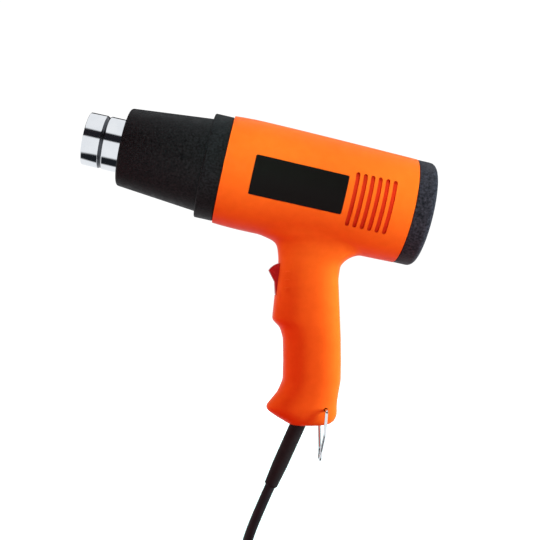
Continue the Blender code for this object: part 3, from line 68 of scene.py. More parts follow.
# Housing
SHELL_LENGTH = 124.8 * MM
SHELL_FRONT_RADIUS = 36.3 * MM
CROWN_RADIUS = 37.1 * MM
SHELL_REAR_RADIUS = 35.6 * MM
SHELL_CROWN_X = 20.0 * MM
SHELL_WALL = 2.1 * MM
HALF_SEAM = 0.15 * MM
SHELL_FRONT_GAP = 0.05 * MM
HANDLE_TOP_Z = -22.0 * MM
HANDLE_BOTTOM_Z = -157.7 * MM
HANDLE_SQUARENESS = 2.6
HANDLE_BOTTOM_ROUND = 2.4 * MM
NECK_BLEND = 5.0 * MM
SKIN_VOXEL = 1.15 * MM
SKIN_OVERHANG = 4.0 * MM
SKIN_BOTTOM_RISE = 0.3 * MM
HANDLE_STATIONS = np.array((
    (-24.0, -34.0, 36.0, 22.2), (-31.2, -30.0, 35.5, 21.0), (-33.2, -26.4, 35.0, 19.3),
    (-35.5, -23.9, 34.5, 18.1), (-39.0, -22.6, 33.8, 17.4), (-44.7, -22.0, 28.9, 17.0),
    (-47.3, -21.9, 23.6, 17.0), (-51.4, -22.1, 19.7, 17.0), (-60.0, -23.3, 18.4, 17.0),
    (-87.2, -26.2, 19.5, 17.0), (-92.5, -21.0, 19.7, 16.9), (-99.8, -18.9, 20.0, 16.8),
    (-115.0, -18.6, 20.2, 16.6), (-128.1, -19.0, 20.0, 16.4), (-136.2, -22.6, 18.6, 16.2),
    (-141.0, -26.6, 17.9, 16.0), (-145.2, -30.3, 17.5, 15.8), (-147.4, -30.3, 17.5, 15.6),
    (-151.5, -24.6, 17.5, 15.0), (-155.5, -18.0, 15.7, 13.5), (-157.7, -14.6, 12.5, 11.2))) * MM
PROFILE_SMOOTHING = 1.1 * MM
PROFILE_STEP = 0.25 * MM
PROFILE_LOW_Z = -175.0 * MM
PROFILE_HIGH_Z = -10.0 * MM

# Side vents, name plates and switch marks
VENT_COUNT = 6
VENT_FIRST_X = 85.0 * MM
VENT_PITCH = 4.93 * MM
VENT_WIDTH = 2.7 * MM
VENT_MIDDLE_Z = -3.1 * MM
VENT_HALF_HEIGHT = 17.4 * MM
VENT_CUT_Y = (15.0 * MM, 45.0 * MM)
BAFFLE_RADIUS = 34.0 * MM
BAFFLE_THICKNESS = 0.8 * MM
BAFFLE_MARGIN = 4.0 * MM
BAFFLE_LOW = -50.0 * DEG
BAFFLE_HIGH = 38.0 * DEG
LABEL_START_X = 19.0 * MM
LABEL_LENGTH = 60.5 * MM
LABEL_LOW = -23.2 * DEG
LABEL_HIGH = 16.6 * DEG
LABEL_CORNER = 0.9 * MM
LABEL_SUNK = 0.5 * MM
LABEL_PROUD = 0.15 * MM
LABEL_BED = 0.1 * MM
LABEL_GAP = 0.25 * MM
LABEL_CUT_RISE = 3.0 * MM
MARK_X = (-19.6 * MM, -15.4 * MM)
MARK_Z = (-55.4 * MM, -60.8 * MM, -66.2 * MM)
MARK_HEIGHT = 1.7 * MM
MARK_CORNER = 0.7 * MM
MARK_EDGE = 0.25 * MM
MARK_Y = (10.0 * MM, 17.0 * MM)
MARK_SUNK = 0.5 * MM
MARK_PROUD = 0.45 * MM

# Housing screws
SCREW_COUNT = 6
SCREW_SHANK_RADIUS = 1.4 * MM
SCREW_HEAD_RADIUS = 2.6 * MM
SCREW_HEAD_HEIGHT = 1.8 * MM
SCREW_SLOT_REACH = 1.5 * MM
SCREW_SLOT_HALF_WIDTH = 0.3 * MM
SCREW_SLOT_DEPTH = 1.0 * MM
SCREW_TURN = 20.0 * DEG
SCREW_WELL_RADIUS = 2.9 * MM
SCREW_WELL_DEPTH = 2.6 * MM
SCREW_WELL_TOP_Y = 60.0 * MM

# Guard, outlet tube and rear cap, with the ring in the guard that holds the tube's flange
BARREL_SEAM = 0.3 * MM
SPIGOT_RADIUS = 33.0 * MM
SPIGOT_WALL = 2.1 * MM
GUARD_LENGTH = 67.7 * MM
GUARD_FRONT_RADIUS = 26.0 * MM
GUARD_NECK_RADIUS = 31.4 * MM
GUARD_LIP_RADIUS = 35.2 * MM
GUARD_LIP_LENGTH = 12.9 * MM
GUARD_WALL = 2.4 * MM
GUARD_MOUTH_GAP = 1.4 * MM
GUARD_SPIGOT_LENGTH = 8.0 * MM
GUARD_POCKET_X = -7.9 * MM
RING_OUTER_RADIUS = 29.0 * MM
RING_INNER_RADIUS = 26.9 * MM
RING_TOP_X = 2.0 * MM
FLANGE_SEAT_X = -7.3 * MM
FLANGE_SEAT_RADIUS = 24.8 * MM
FLANGE_X = -7.0 * MM
FLANGE_RADIUS = 26.6 * MM
FLANGE_THICKNESS = 1.0 * MM
TUBE_TIP_X = -92.9 * MM
TUBE_RADIUS = 17.8 * MM
TUBE_WALL = 1.0 * MM
GROOVE_X = -80.5 * MM
GROOVE_HALF_WIDTH = 1.5 * MM
GROOVE_DEPTH = 0.9 * MM
GROOVE_FLOOR = 0.2 * MM
GROOVE_SHADE = 0.9 * MM
WINDING_TURNS = 15
WINDING_WIRE_RADIUS = 0.5 * MM
WINDING_INSET = 0.6 * MM
CAP_LENGTH = 13.4 * MM
CAP_RADIUS = 35.4 * MM
CAP_EDGE = 4.2 * MM
CAP_WALL = 2.4 * MM
CAP_SPIGOT_LENGTH = 7.0 * MM
GRILLE_SLOTS = 16
GRILLE_SLOT_WIDTH = 2.2 * MM
GRILLE_INNER_RADIUS = 11.0 * MM
GRILLE_OUTER_RADIUS = 27.0 * MM

# Switch rocker and hanging loop
ROCKER_PIVOT = Vector((-19.0 * MM, 0.0, -60.5 * MM))
ROCKER_SWEEP = 11.2 * MM
ROCKER_WIDTH = 13.0 * MM
ROCKER_REST_TURN = 15.0 * DEG
ROCKER_TIP_ANGLE = 47.6 * DEG
ROCKER_TAIL_ANGLE = 97.0 * DEG
ROCKER_WAIST = 5.8 * MM
ROCKER_BACK = 2.8 * MM
ROCKER_BACK_HALF = 3.0 * MM
ROCKER_EYE_RADIUS = 1.1 * MM
ROCKER_EDGE = 0.45 * MM
ROCKER_GAP = 0.3 * MM
LOOP_PIVOT = Vector((8.8 * MM, 0.0, -146.5 * MM))
LOOP_TILT = 4.3 * DEG
LOOP_WIRE_RADIUS = 1.0 * MM
LOOP_LEG = 13.5 * MM
LOOP_LENGTH = 36.0 * MM
LOOP_END_HALF_WIDTH = 4.5 * MM
LOOP_LEG_Y = 17.3 * MM
LOOP_HOOK_DEPTH = 3.5 * MM
LOOP_CORNER = 1.6 * MM
LOOP_SHOULDER = ((0.015, 1.2 * MM), (0.07, 3.0 * MM))
LOOP_BEND_Y = 1.25 * LOOP_END_HALF_WIDTH
LOOP_BEND_RISE = 3.0 * MM
LOOP_BORE_RADIUS = 1.5 * MM
LOOP_BORE_REACH = 50.0 * MM

# Cord, strain relief, coil, tie and plug
CORD_RADIUS = 3.5 * MM
CORD_EXIT_X = -8.4 * MM
CORD_LEAN = 24.4 * DEG
CORD_LAP = 1.0 * MM
CORD_FIT_RADIUS = CORD_RADIUS + 0.1 * MM
RELIEF_LENGTH = 45.0 * MM
RELIEF_ROOT_RADIUS = 5.3 * MM
TAPER_START = 30.0 * MM
TAPER_RADIUS = 5.2 * MM
RELIEF_TIP_RADIUS = 4.5 * MM
COLLAR_SPAN = (-8.8 * MM, -6.6 * MM)
COLLAR_RADIUS = 7.4 * MM
RELIEF_GAP = 0.25 * MM
RELIEF_CUT = (-12.0 * MM, 20.0 * MM)
FLOOR_Z = -180.0 * MM
TIE_THICKNESS = 0.8 * MM
TIE_WIDTH = 6.0 * MM
TIE_GAP = 0.3 * MM
TIE_EDGE = 0.2 * MM
TIE_ANGLE = 20.0 * DEG
COIL_CENTRE = Vector((46.0 * MM, 0.0, FLOOR_Z + TIE_THICKNESS + TIE_GAP + CORD_RADIUS))
COIL_RADIUS = 40.5 * MM
COIL_PITCH = 7.5 * MM
COIL_LAYER_STEP = 7.6 * MM
COIL_TURNS = 3.25
COIL_HALF_SPAN = COIL_PITCH * COIL_TURNS / 2.0
COIL_END_ANGLE = 120.0 * DEG
CORD_ROUTE = (
    (-0.0060, 0.0000, -0.1001), (-0.0078, 0.0003, -0.1090), (-0.0094, 0.0011, -0.1178),
    (-0.0108, 0.0027, -0.1266), (-0.0118, 0.0051, -0.1353), (-0.0122, 0.0087, -0.1436),
    (-0.0118, 0.0134, -0.1512), (-0.0102, 0.0194, -0.1578), (-0.0070, 0.0263, -0.1628),
    (-0.0020, 0.0331, -0.1659), (0.0046, 0.0390, -0.1674), (0.0126, 0.0431, -0.1678))
PLUG_ROUTE = (
    (0.0667, -0.0504, -0.1754), (0.0603, -0.0557, -0.1750), (0.0538, -0.0608, -0.1738),
    (0.0470, -0.0653, -0.1723), (0.0399, -0.0692, -0.1707), (0.0323, -0.0722, -0.1692),
    (0.0244, -0.0744, -0.1680), (0.0163, -0.0756, -0.1672), (0.0080, -0.0760, -0.1670))
PLUG_NECK_LENGTH = 18.0 * MM
PLUG_NECK_RADIUS = CORD_RADIUS + 1.2 * MM
PLUG_RIBS_START = 4.0 * MM
PLUG_RIBS_END = 15.0 * MM
PLUG_RIB_PITCH = 2.6 * MM
PLUG_RIB_DEPTH = 0.45 * MM
PLUG_LENGTH = 54.0 * MM
PLUG_HALF_WIDTH = 17.5 * MM
PLUG_HALF_HEIGHT = 13.0 * MM
PLUG_PIN_RADIUS = 2.4 * MM
PLUG_PIN_GAP = 0.3 * MM

# Light: lamps as (name, place, target, size, watts, colour), spots as (name, place, target, watts, cone),
# and the surroundings, mirrored and soft, as (height, colour)
LAMPS = (
    ("side", (0.74, -0.13, 0.24), (0.0, 0.0, 0.02), (0.30, 0.40), 15.0, (0.78, 1.0, 0.86)),
    ("back", (0.10, 1.00, 0.60), (-0.02, 0.0, 0.05), (0.8, 0.6), 11.0, (0.82, 1.0, 0.88)),
    ("mouth", (-0.80, 0.32, 0.22), (-0.13, 0.0, 0.10), (0.25, 0.25), 2.2, (0.85, 1.0, 0.92)))
SPOTS = (
    ("top", (0.02, -0.30, 0.50), (-0.02, 0.0, 0.12), 4.5, 34.0 * DEG),
    ("rear", (0.10, -0.45, 0.20), (0.050, 0.0, 0.100), 19.0, 14.0 * DEG),
    ("front", (-0.05, -0.45, 0.22), (-0.079, 0.0, 0.100), 19.0, 14.0 * DEG),
    ("outlet", (-0.75, 0.12, 0.14), (-0.13, 0.0, 0.10), 7.5, 12.0 * DEG))
SPOT_COLOUR = (0.55, 1.0, 0.74)
SPOT_SOFTNESS = 0.06
DARK_BAND = (0.012, 0.014, 0.018)
BRIGHT_BAND = (0.96, 0.98, 1.0)
REFLECTED_BANDS = ((0.030, DARK_BAND), (0.055, BRIGHT_BAND), (0.520, BRIGHT_BAND), (0.560, DARK_BAND),
                   (0.780, DARK_BAND), (0.820, BRIGHT_BAND))
SOFT_LIGHT = ((0.10, (0.82, 0.110, 0.098)), (0.90, (0.58, 0.17, 0.145)))
SOFT_LIGHT_STRENGTH = 1.25
SOFT_LIGHT_SPAN = 1.2
WHITE = (1.0, 1.0, 1.0, 1.0)
BACKDROP_STRENGTH = 1.05
FLOOR_RADIUS = 3.0
FLOOR_COLOUR = (0.22, 0.50, 0.55)
FLOOR_ROUGHNESS = 0.9
FLOOR_SPECULAR = 0.1
FLOOR_GLOW = (0.80, 1.1)
FLOOR_GLOW_REACH = (0.15, 0.75)


# Mesh helpers

def added(name, data):
    """A new object with this data, in the scene."""
    piece = bpy.data.objects.new(name, data)
    bpy.context.collection.objects.link(piece)
    return piece


def place(name, bm, material=None, matrix=Matrix.Identity(4)):
    """Makes a piece of a bmesh, its place written into the mesh."""
    bmesh.ops.transform(bm, verts=bm.verts, matrix=matrix)
    bmesh.ops.remove_doubles(bm, verts=bm.verts, dist=1e-7)
    bmesh.ops.recalc_face_normals(bm, faces=bm.faces)
    mesh = bpy.data.meshes.new(name)
    bm.to_mesh(mesh)
    bm.free()
    mesh.shade_smooth()
    mesh.set_sharp_from_angle(angle=SHARP_TURN)
    if material:
        mesh.materials.append(material)
    return added(name, mesh)


def apply(piece):
    """Bakes a piece's modifiers into its mesh."""
    graph = bpy.context.evaluated_depsgraph_get()
    mesh = bpy.data.meshes.new_from_object(piece.evaluated_get(graph), depsgraph=graph)
    piece.modifiers.clear()
    piece.data = mesh
    mesh.shade_smooth()
    mesh.set_sharp_from_angle(angle=SHARP_TURN)


def cut(piece, cutters):
    """Cuts a piece with each cutter and removes the cutters."""
    for cutter in cutters:
        step = piece.modifiers.new("cut_" + cutter.name, "BOOLEAN")
        step.operation = "DIFFERENCE"
        step.solver = "EXACT"
        step.object = cutter
    apply(piece)
    for cutter in cutters:
        bpy.data.objects.remove(cutter, do_unlink=True)


def soften(piece, width, segments=3, least_turn=30.0):
    """Rounds the edges of a piece that turn by more than an angle."""
    edge = piece.modifiers.new("soft_edges", "BEVEL")
    edge.width = width
    edge.segments = segments
    edge.limit_method = "ANGLE"
    edge.angle_limit = least_turn * DEG
    apply(piece)


def rounded(corners, steps=5):
    """Closed outline whose corners, given as (x, y, radius), are rounded by arcs."""
    outline = []
    count = len(corners)
    for i, (x, y, radius) in enumerate(corners):
        here = Vector((x, y))
        before = Vector(corners[i - 1][:2]) - here
        after = Vector(corners[(i + 1) % count][:2]) - here
        if radius <= 0.0 or before.length < 1e-9 or after.length < 1e-9:
            outline.append((x, y))
            continue
        half = before.angle(after) / 2.0
        reach = min(radius / math.tan(half), 0.49 * before.length, 0.49 * after.length)
        radius = reach * math.tan(half)
        before.normalize()
        after.normalize()
        centre = here + (before + after).normalized() * radius / math.sin(half)
        first = here + before * reach - centre
        last = here + after * reach - centre
        for k in range(steps + 1):
            outline.append(tuple(centre + first.lerp(last, k / steps).normalized() * radius))
    return outline


def revolved(profile, segments, axis="X"):
    """Turns a closed (along, radius) outline round an axis."""
    bm = bmesh.new()
    rings = []
    for along, radius in profile:
        if radius < 1e-7:
            rings.append([bm.verts.new((along, 0.0, 0.0) if axis == "X" else (0.0, along, 0.0))])
            continue
        ring = []
        for i in range(segments):
            angle = TURN * i / segments
            a, b = radius * math.cos(angle), radius * math.sin(angle)
            ring.append(bm.verts.new((along, a, b) if axis == "X" else (a, along, b)))
        rings.append(ring)
    for i, ring in enumerate(rings):
        other = rings[i - 1]
        if len(ring) == 1 and len(other) == 1:
            continue
        for k in range(segments):
            corners = [other[k - 1], other[k]] if len(other) > 1 else [other[0]]
            corners += [ring[k], ring[k - 1]] if len(ring) > 1 else [ring[0]]
            bm.faces.new(corners)
    return bm


def loft(rings, closed_ends=True):
    """Joins rings of equally many points into a skin, closed at both ends."""
    bm = bmesh.new()
    rows = [[bm.verts.new(point) for point in ring] for ring in rings]
    for low, high in zip(rows, rows[1:]):
        for i in range(len(low)):
            bm.faces.new((low[i - 1], low[i], high[i], high[i - 1]))
    if closed_ends:
        bm.faces.new(rows[0])
        bm.faces.new(rows[-1])
    return bm


def extruded(outline, low, high):
    """Extrudes an (x, z) outline along y."""
    return loft([[(x, y, z) for x, z in outline] for y in (low, high)])


def rod(start, end, radius, segments):
    """A round bar between two points."""
    start, end = Vector(start), Vector(end)
    turn = (end - start).to_track_quat("Z", "Y").to_matrix().to_4x4()
    bm = bmesh.new()
    bmesh.ops.create_cone(bm, cap_ends=True, segments=segments, radius1=radius, radius2=radius,
                          depth=(end - start).length, matrix=Matrix.Translation((start + end) / 2.0) @ turn)
    return bm


def joined(parts):
    """Puts several bmeshes into one."""
    whole = bmesh.new()
    for part in parts:
        mesh = bpy.data.meshes.new("part")
        part.to_mesh(mesh)
        part.free()
        whole.from_mesh(mesh)
        bpy.data.meshes.remove(mesh)
    return whole


def curve_points(route, count):
    """Evenly spaced points on a smooth curve through the route."""
    route = [Vector(point) for point in route]
    fine = []
    for i in range(len(route) - 1):
        p1, p2 = route[i], route[i + 1]
        p0 = route[i - 1] if i else p1 * 2.0 - p2
        p3 = route[i + 2] if i + 2 < len(route) else p2 * 2.0 - p1
        for k in range(16):
            t = k / 16.0
            fine.append(0.5 * (2.0 * p1 + (p2 - p0) * t + (2.0 * p0 - 5.0 * p1 + 4.0 * p2 - p3) * t * t
                               + (3.0 * p1 - p0 - 3.0 * p2 + p3) * t ** 3))
    fine.append(route[-1])
    fine = np.array([tuple(point) for point in fine])
    lengths = np.concatenate(([0.0], np.cumsum(np.linalg.norm(np.diff(fine, axis=0), axis=1))))
    wanted = np.linspace(0.0, lengths[-1], count)
    return [Vector([float(np.interp(w, lengths, fine[:, k])) for k in range(3)]) for w in wanted]


def wire(name, points, radius, material, resolution=6):
    """A round wire along the points."""
    curve = bpy.data.curves.new(name, "CURVE")
    curve.dimensions = "3D"
    curve.bevel_depth = radius
    curve.bevel_resolution = resolution
    curve.use_fill_caps = True
    spline = curve.splines.new("POLY")
    spline.points.add(len(points) - 1)
    spline.use_smooth = True
    for control, point in zip(spline.points, points):
        control.co = (*point, 1.0)
    curve.materials.append(material)
    return added(name, curve)


def superellipse(along, half_x, half_y, power, count, middle=0.0):
    """A squarish ring across Z, at the height along."""
    ring = []
    for i in range(count):
        angle = TURN * (i + 0.5) / count
        c, s = math.cos(angle), math.sin(angle)
        ring.append((middle + half_x * math.copysign(abs(c) ** (2.0 / power), c),
                     half_y * math.copysign(abs(s) ** (2.0 / power), s), along))
    return ring


# Materials

def fill(node, values):
    """Sets inputs of a node by their names."""
    for name, value in values.items():
        node.inputs[name].default_value = value


def noise(tree, coords, size, detail, rough):
    """Noise whose features have about the given size."""
    texture = tree.nodes.new("ShaderNodeTexNoise")
    fill(texture, {"Scale": 1.0 / size, "Detail": detail, "Roughness": rough})
    tree.links.new(coords, texture.inputs["Vector"])
    return texture.outputs["Fac"]


def remap(tree, value, low, high, start=0.3, end=0.7):
    """Takes a value between start and end to one between low and high."""
    ranged = tree.nodes.new("ShaderNodeMapRange")
    fill(ranged, {"From Min": start, "From Max": end, "To Min": low, "To Max": high})
    tree.links.new(value, ranged.inputs["Value"])
    return ranged.outputs["Result"]


def surface(name, colour, second, patch, roughness, grain, depth, metallic=0.0, specular=0.5):
    """A finish with patches between two colours, uneven gloss and a fine grain, its sizes in mm."""
    material = bpy.data.materials.new(name)
    material.use_nodes = True
    tree = material.node_tree
    nodes, links = tree.nodes, tree.links
    shader = nodes["Principled BSDF"]
    coords = nodes.new("ShaderNodeTexCoord").outputs["Object"]
    patches = noise(tree, coords, patch * MM, 5.0, 0.55)
    mix = nodes.new("ShaderNodeMix")
    mix.data_type = "RGBA"
    fill(mix, {"A": (*colour, 1.0), "B": (*second, 1.0)})
    links.new(remap(tree, patches, 0.0, 1.0), mix.inputs["Factor"])
    links.new(mix.outputs["Result"], shader.inputs["Base Color"])
    smudges = noise(tree, coords, 4.0 * patch * MM, 6.0, 0.65)
    links.new(remap(tree, smudges, *roughness), shader.inputs["Roughness"])
    bump = nodes.new("ShaderNodeBump")
    fill(bump, {"Distance": depth * MM})
    links.new(noise(tree, coords, grain * MM, 3.0, 0.5), bump.inputs["Height"])
    links.new(bump.outputs["Normal"], shader.inputs["Normal"])
    fill(shader, {"Metallic": metallic, "Specular IOR Level": specular})
    return material


ORANGE = surface(
    "orange_plastic", (0.74, 0.130, 0.014), (0.69, 0.118, 0.012),
    6.0, (0.34, 0.46), 0.45, 0.018, specular=0.06)
GUARD_BLACK = surface(
    "guard_black", (0.001, 0.002, 0.003), (0.013, 0.016, 0.021),
    1.4, (0.40, 0.60), 0.80, 0.12, specular=0.08)
CAP_BLACK = surface(
    "cap_black", (0.001, 0.002, 0.004), (0.034, 0.034, 0.054), 1.5, (0.42, 0.62), 0.8, 0.10, specular=0.10)
LABEL_BLACK = surface(
    "label_foil", (0.0040, 0.0040, 0.0046), (0.0048, 0.0048, 0.0054),
    0.5, (0.32, 0.34), 0.30, 0.002, specular=0.05)
SWITCH_BLACK = surface(
    "switch_black", (0.030, 0.031, 0.036), (0.045, 0.046, 0.052), 3.0, (0.30, 0.42), 0.25, 0.012)
RUBBER = surface(
    "rubber_black", (0.010, 0.0095, 0.012), (0.016, 0.015, 0.018),
    3.0, (0.45, 0.62), 0.40, 0.03, specular=0.12)
CORD_BLACK = surface(
    "cord_black", (0.010, 0.010, 0.014), (0.015, 0.015, 0.020),
    8.0, (0.38, 0.52), 0.35, 0.02, specular=0.12)
CHROME = surface(
    "plated_steel_fine", (0.83, 0.84, 0.86), (0.76, 0.78, 0.81),
    9.0, (0.05, 0.11), 0.6, 0.002, metallic=1.0)
ZINC = surface(
    "zinc_plated", (0.52, 0.53, 0.55), (0.40, 0.41, 0.42), 2.0, (0.28, 0.42), 0.25, 0.01, metallic=1.0)
CRIMSON = surface(
    "crimson_plastic", (0.40, 0.016, 0.022), (0.31, 0.010, 0.016),
    3.0, (0.30, 0.42), 0.30, 0.006, specular=0.10)
# A darker, redder copy of the orange plastic: painted shade inside the vent slots
VENT_PAINTED_SHADE = surface(
    "vent_slot_painted_shade", (0.60, 0.030, 0.010), (0.54, 0.026, 0.009),
    6.0, (0.40, 0.50), 0.45, 0.018, specular=0.10)
# Dark grey metal finish: painted shade in the outlet tube's groove
GROOVE_PAINTED_SHADE = surface(
    "groove_painted_shade", (0.06, 0.065, 0.075), (0.10, 0.105, 0.12), 2.0, (0.20, 0.30), 0.30, 0.004, metallic=1.0)
GREY = surface("grey_moulding", (0.16, 0.16, 0.17), (0.22, 0.22, 0.23), 6.0, (0.42, 0.55), 0.40, 0.03)
MICA = surface("mica_sheet", (0.50, 0.42, 0.28), (0.66, 0.60, 0.46), 1.5, (0.35, 0.60), 0.30, 0.03)
CERAMIC = surface("heater_ceramic", (0.74, 0.70, 0.61), (0.60, 0.54, 0.44), 4.0, (0.65, 0.80), 0.30, 0.05)
HOT_WIRE = surface(
    "heater_wire", (0.32, 0.28, 0.25), (0.22, 0.18, 0.16), 2.0, (0.35, 0.55), 0.20, 0.01, metallic=1.0)
COPPER = surface(
    "wound_copper", (0.60, 0.24, 0.12), (0.40, 0.14, 0.07), 1.2, (0.30, 0.45), 0.35, 0.08, metallic=1.0)
BRASS = surface(
    "turned_brass", (0.72, 0.53, 0.24), (0.60, 0.42, 0.17), 2.5, (0.22, 0.36), 0.20, 0.01, metallic=1.0)
FERRITE = surface("ferrite", (0.040, 0.040, 0.044), (0.070, 0.070, 0.074), 1.5, (0.50, 0.70), 0.25, 0.03)
BOARD = surface(
    "glass_fibre_board", (0.020, 0.16, 0.06), (0.035, 0.24, 0.10), 1.0, (0.30, 0.45), 0.50, 0.02)
BLUE = surface(
    "blue_insulation", (0.020, 0.075, 0.36), (0.030, 0.10, 0.46), 3.0, (0.35, 0.50), 0.30, 0.01)
BROWN = surface(
    "brown_insulation", (0.15, 0.050, 0.022), (0.21, 0.075, 0.034), 3.0, (0.35, 0.50), 0.30, 0.01)
RED_WIRE = surface(
    "red_insulation", (0.45, 0.016, 0.018), (0.56, 0.024, 0.026), 3.0, (0.35, 0.50), 0.30, 0.01)


# Housing: a smooth field on which a fine skin is laid

def barrel_radius(x):
    """The barrel's radius along its axis, swelling to a crown."""
    before = np.clip(1.0 - x / SHELL_CROWN_X, 0.0, 1.3)
    behind = np.clip((x - SHELL_CROWN_X) / (SHELL_LENGTH - SHELL_CROWN_X), 0.0, 1.1)
    fore = CROWN_RADIUS - (CROWN_RADIUS - SHELL_FRONT_RADIUS) * before ** 2
    aft = CROWN_RADIUS - (CROWN_RADIUS - SHELL_REAR_RADIUS) * behind ** 1.5
    return np.where(x < SHELL_CROWN_X, fore, aft)


def handle_table():
    """Front, back and half thickness of the handle at close, smoothed heights."""
    heights = np.arange(PROFILE_LOW_Z, PROFILE_HIGH_Z, PROFILE_STEP)
    stations = HANDLE_STATIONS[::-1]
    reach = int(4.0 * PROFILE_SMOOTHING / PROFILE_STEP)
    weights = np.exp(-0.5 * (np.arange(-reach, reach + 1) * PROFILE_STEP / PROFILE_SMOOTHING) ** 2)
    weights /= weights.sum()
    columns = []
    for k in (1, 2, 3):
        plain = np.interp(heights, stations[:, 0], stations[:, k])
        columns.append(np.convolve(np.pad(plain, reach, mode="edge"), weights, mode="valid"))
    return heights, columns


HANDLE_HEIGHTS, HANDLE_COLUMNS = handle_table()


def smooth_least(a, b, reach):
    """The lesser of two fields, blended where they differ by less than the reach."""
    share = np.maximum(reach - np.abs(a - b), 0.0) / reach
    return np.minimum(a, b) - share * share * reach / 4.0


def housing_field(points):
    """Signed distance, nearly, to the housing's outside, of points in barrel axes."""
    x, y, z = points.T
    barrel = np.hypot(y, z) - barrel_radius(x)
    c, s = math.cos(RAKE), math.sin(RAKE)
    hx = (x - HANDLE_ROOT_X) * c + z * s
    hz = -(x - HANDLE_ROOT_X) * s + z * c
    front, back, half = (np.interp(hz, HANDLE_HEIGHTS, column) for column in HANDLE_COLUMNS)
    middle, depth = (front + back) / 2.0, (back - front) / 2.0
    n = HANDLE_SQUARENESS
    ratio = ((np.abs(hx - middle) / depth) ** n + (np.abs(y) / half) ** n + 1e-12) ** (1.0 / n)
    side = (ratio - 1.0) * np.sqrt(depth * half)
    below = HANDLE_BOTTOM_Z - hz
    above = hz - HANDLE_TOP_Z
    handle = -smooth_least(-side, -below, HANDLE_BOTTOM_ROUND)
    handle = np.maximum(handle, above)
    return smooth_least(barrel, handle, NECK_BLEND)


def laid_on(points, level=0.0, rounds=6):
    """Moves points along the field's slope to a level over the surface."""
    step = 0.02 * MM
    for _ in range(rounds):
        value = housing_field(points)
        slope = np.empty_like(points)
        for k in range(3):
            shifted = points.copy()
            shifted[:, k] += step
            slope[:, k] = (housing_field(shifted) - value) / step
        length = np.maximum(np.sum(slope * slope, axis=1), 0.05)
        points = points - slope * ((value - level) / length)[:, None]
    return points


def housing_skin():
    """The whole outside of the housing, as one closed fine mesh in barrel axes."""
    xs = np.linspace(-SKIN_OVERHANG, SHELL_LENGTH + SKIN_OVERHANG, 24)
    barrel = revolved([(xs[0], 0.0)] + [(x, float(barrel_radius(x))) for x in xs] + [(xs[-1], 0.0)], 64)
    rings = []
    for z in np.linspace(HANDLE_BOTTOM_Z + SKIN_BOTTOM_RISE, HANDLE_TOP_Z, 60):
        front, back, half = (float(np.interp(z, HANDLE_HEIGHTS, column)) for column in HANDLE_COLUMNS)
        middle, depth = (back + front) / 2.0, (back - front) / 2.0
        rings.append(superellipse(z, depth, half, HANDLE_SQUARENESS, 40, middle))
    handle = loft(rings)
    bmesh.ops.transform(handle, verts=handle.verts, matrix=HANDLE_IN_BARREL)
    skin = place("housing_skin", joined([barrel, handle]))
    remesh = skin.modifiers.new("even_faces", "REMESH")
    remesh.mode = "VOXEL"
    remesh.voxel_size = SKIN_VOXEL
    apply(skin)
    flat = np.empty(3 * len(skin.data.vertices))
    skin.data.vertices.foreach_get("co", flat)
    rough = flat.reshape(-1, 3)
    points = laid_on(rough)
    margin = 0.8 * SKIN_OVERHANG
    outside = (points[:, 0] <= -margin) | (points[:, 0] >= SHELL_LENGTH + margin)
    points[outside] = rough[outside]
    skin.data.vertices.foreach_set("co", points.ravel())
    skin.data.update()
    return skin


def stadium(length, width, steps=8):
    """Outline of a slot with round ends, upright, as (x, z)."""
    outline = []
    for side in (1.0, -1.0):
        for i in range(steps + 1):
            angle = math.pi * i / steps + (0.0 if side > 0.0 else math.pi)
            outline.append((width / 2.0 * math.cos(angle),
                            side * (length - width) / 2.0 + width / 2.0 * math.sin(angle)))
    return outline


def half_shell(skin, name, side):
    """One half of the skin, cut off at the barrel's ends, with a wall's thickness."""
    bm = bmesh.new()
    bm.from_mesh(skin.data)
    for point, normal in (((0.0, side * HALF_SEAM, 0.0), (0.0, side, 0.0)),
                          ((SHELL_FRONT_GAP, 0.0, 0.0), (1.0, 0.0, 0.0)),
                          ((SHELL_LENGTH, 0.0, 0.0), (-1.0, 0.0, 0.0))):
        bmesh.ops.bisect_plane(bm, geom=bm.verts[:] + bm.edges[:] + bm.faces[:], plane_co=point,
                               plane_no=normal, clear_inner=True)
    shell = place(name, bm, ORANGE)
    wall = shell.modifiers.new("wall", "SOLIDIFY")
    wall.thickness = SHELL_WALL
    wall.offset = -1.0
    apply(shell)
    return shell


def vent_cutter(side):
    slots = []
    slot = stadium(2.0 * VENT_HALF_HEIGHT, VENT_WIDTH)
    for i in range(VENT_COUNT):
        at = VENT_FIRST_X + i * VENT_PITCH
        outline = [(x + at, z + VENT_MIDDLE_Z) for x, z in slot]
        slots.append(extruded(outline, *sorted(side * y for y in VENT_CUT_Y)))
    return place("vent_cutter", joined(slots))


def label_columns(margin):
    """(x, half height) pairs along a name plate, its corners rounded."""
    corner = LABEL_CORNER + margin
    length = LABEL_LENGTH + 2.0 * margin
    half = (LABEL_HIGH - LABEL_LOW) / 2.0 * CROWN_RADIUS + margin
    places = [corner * (1.0 - math.cos(90.0 * i / 5.0 * DEG)) for i in range(6)]
    middle = list(np.linspace(corner, length - corner, 24)[1:-1])
    rows = places + middle + [length - p for p in reversed(places)]
    columns = []
    for at in rows:
        edge = min(at, length - at)
        drop = corner - math.sqrt(max(corner ** 2 - max(corner - edge, 0.0) ** 2, 0.0))
        columns.append((LABEL_START_X - margin + at, half - drop))
    return columns


def bent_ring(x, side, inner, outer, low, high, steps):
    """A slice at x of a plate bent to the barrel, between two radii and two angles."""
    angles = [low + (high - low) * i / steps for i in range(steps + 1)]
    rim = [(inner, angle) for angle in angles] + [(outer, angle) for angle in reversed(angles)]
    return [(x, side * radius * math.cos(angle), radius * math.sin(angle)) for radius, angle in rim]


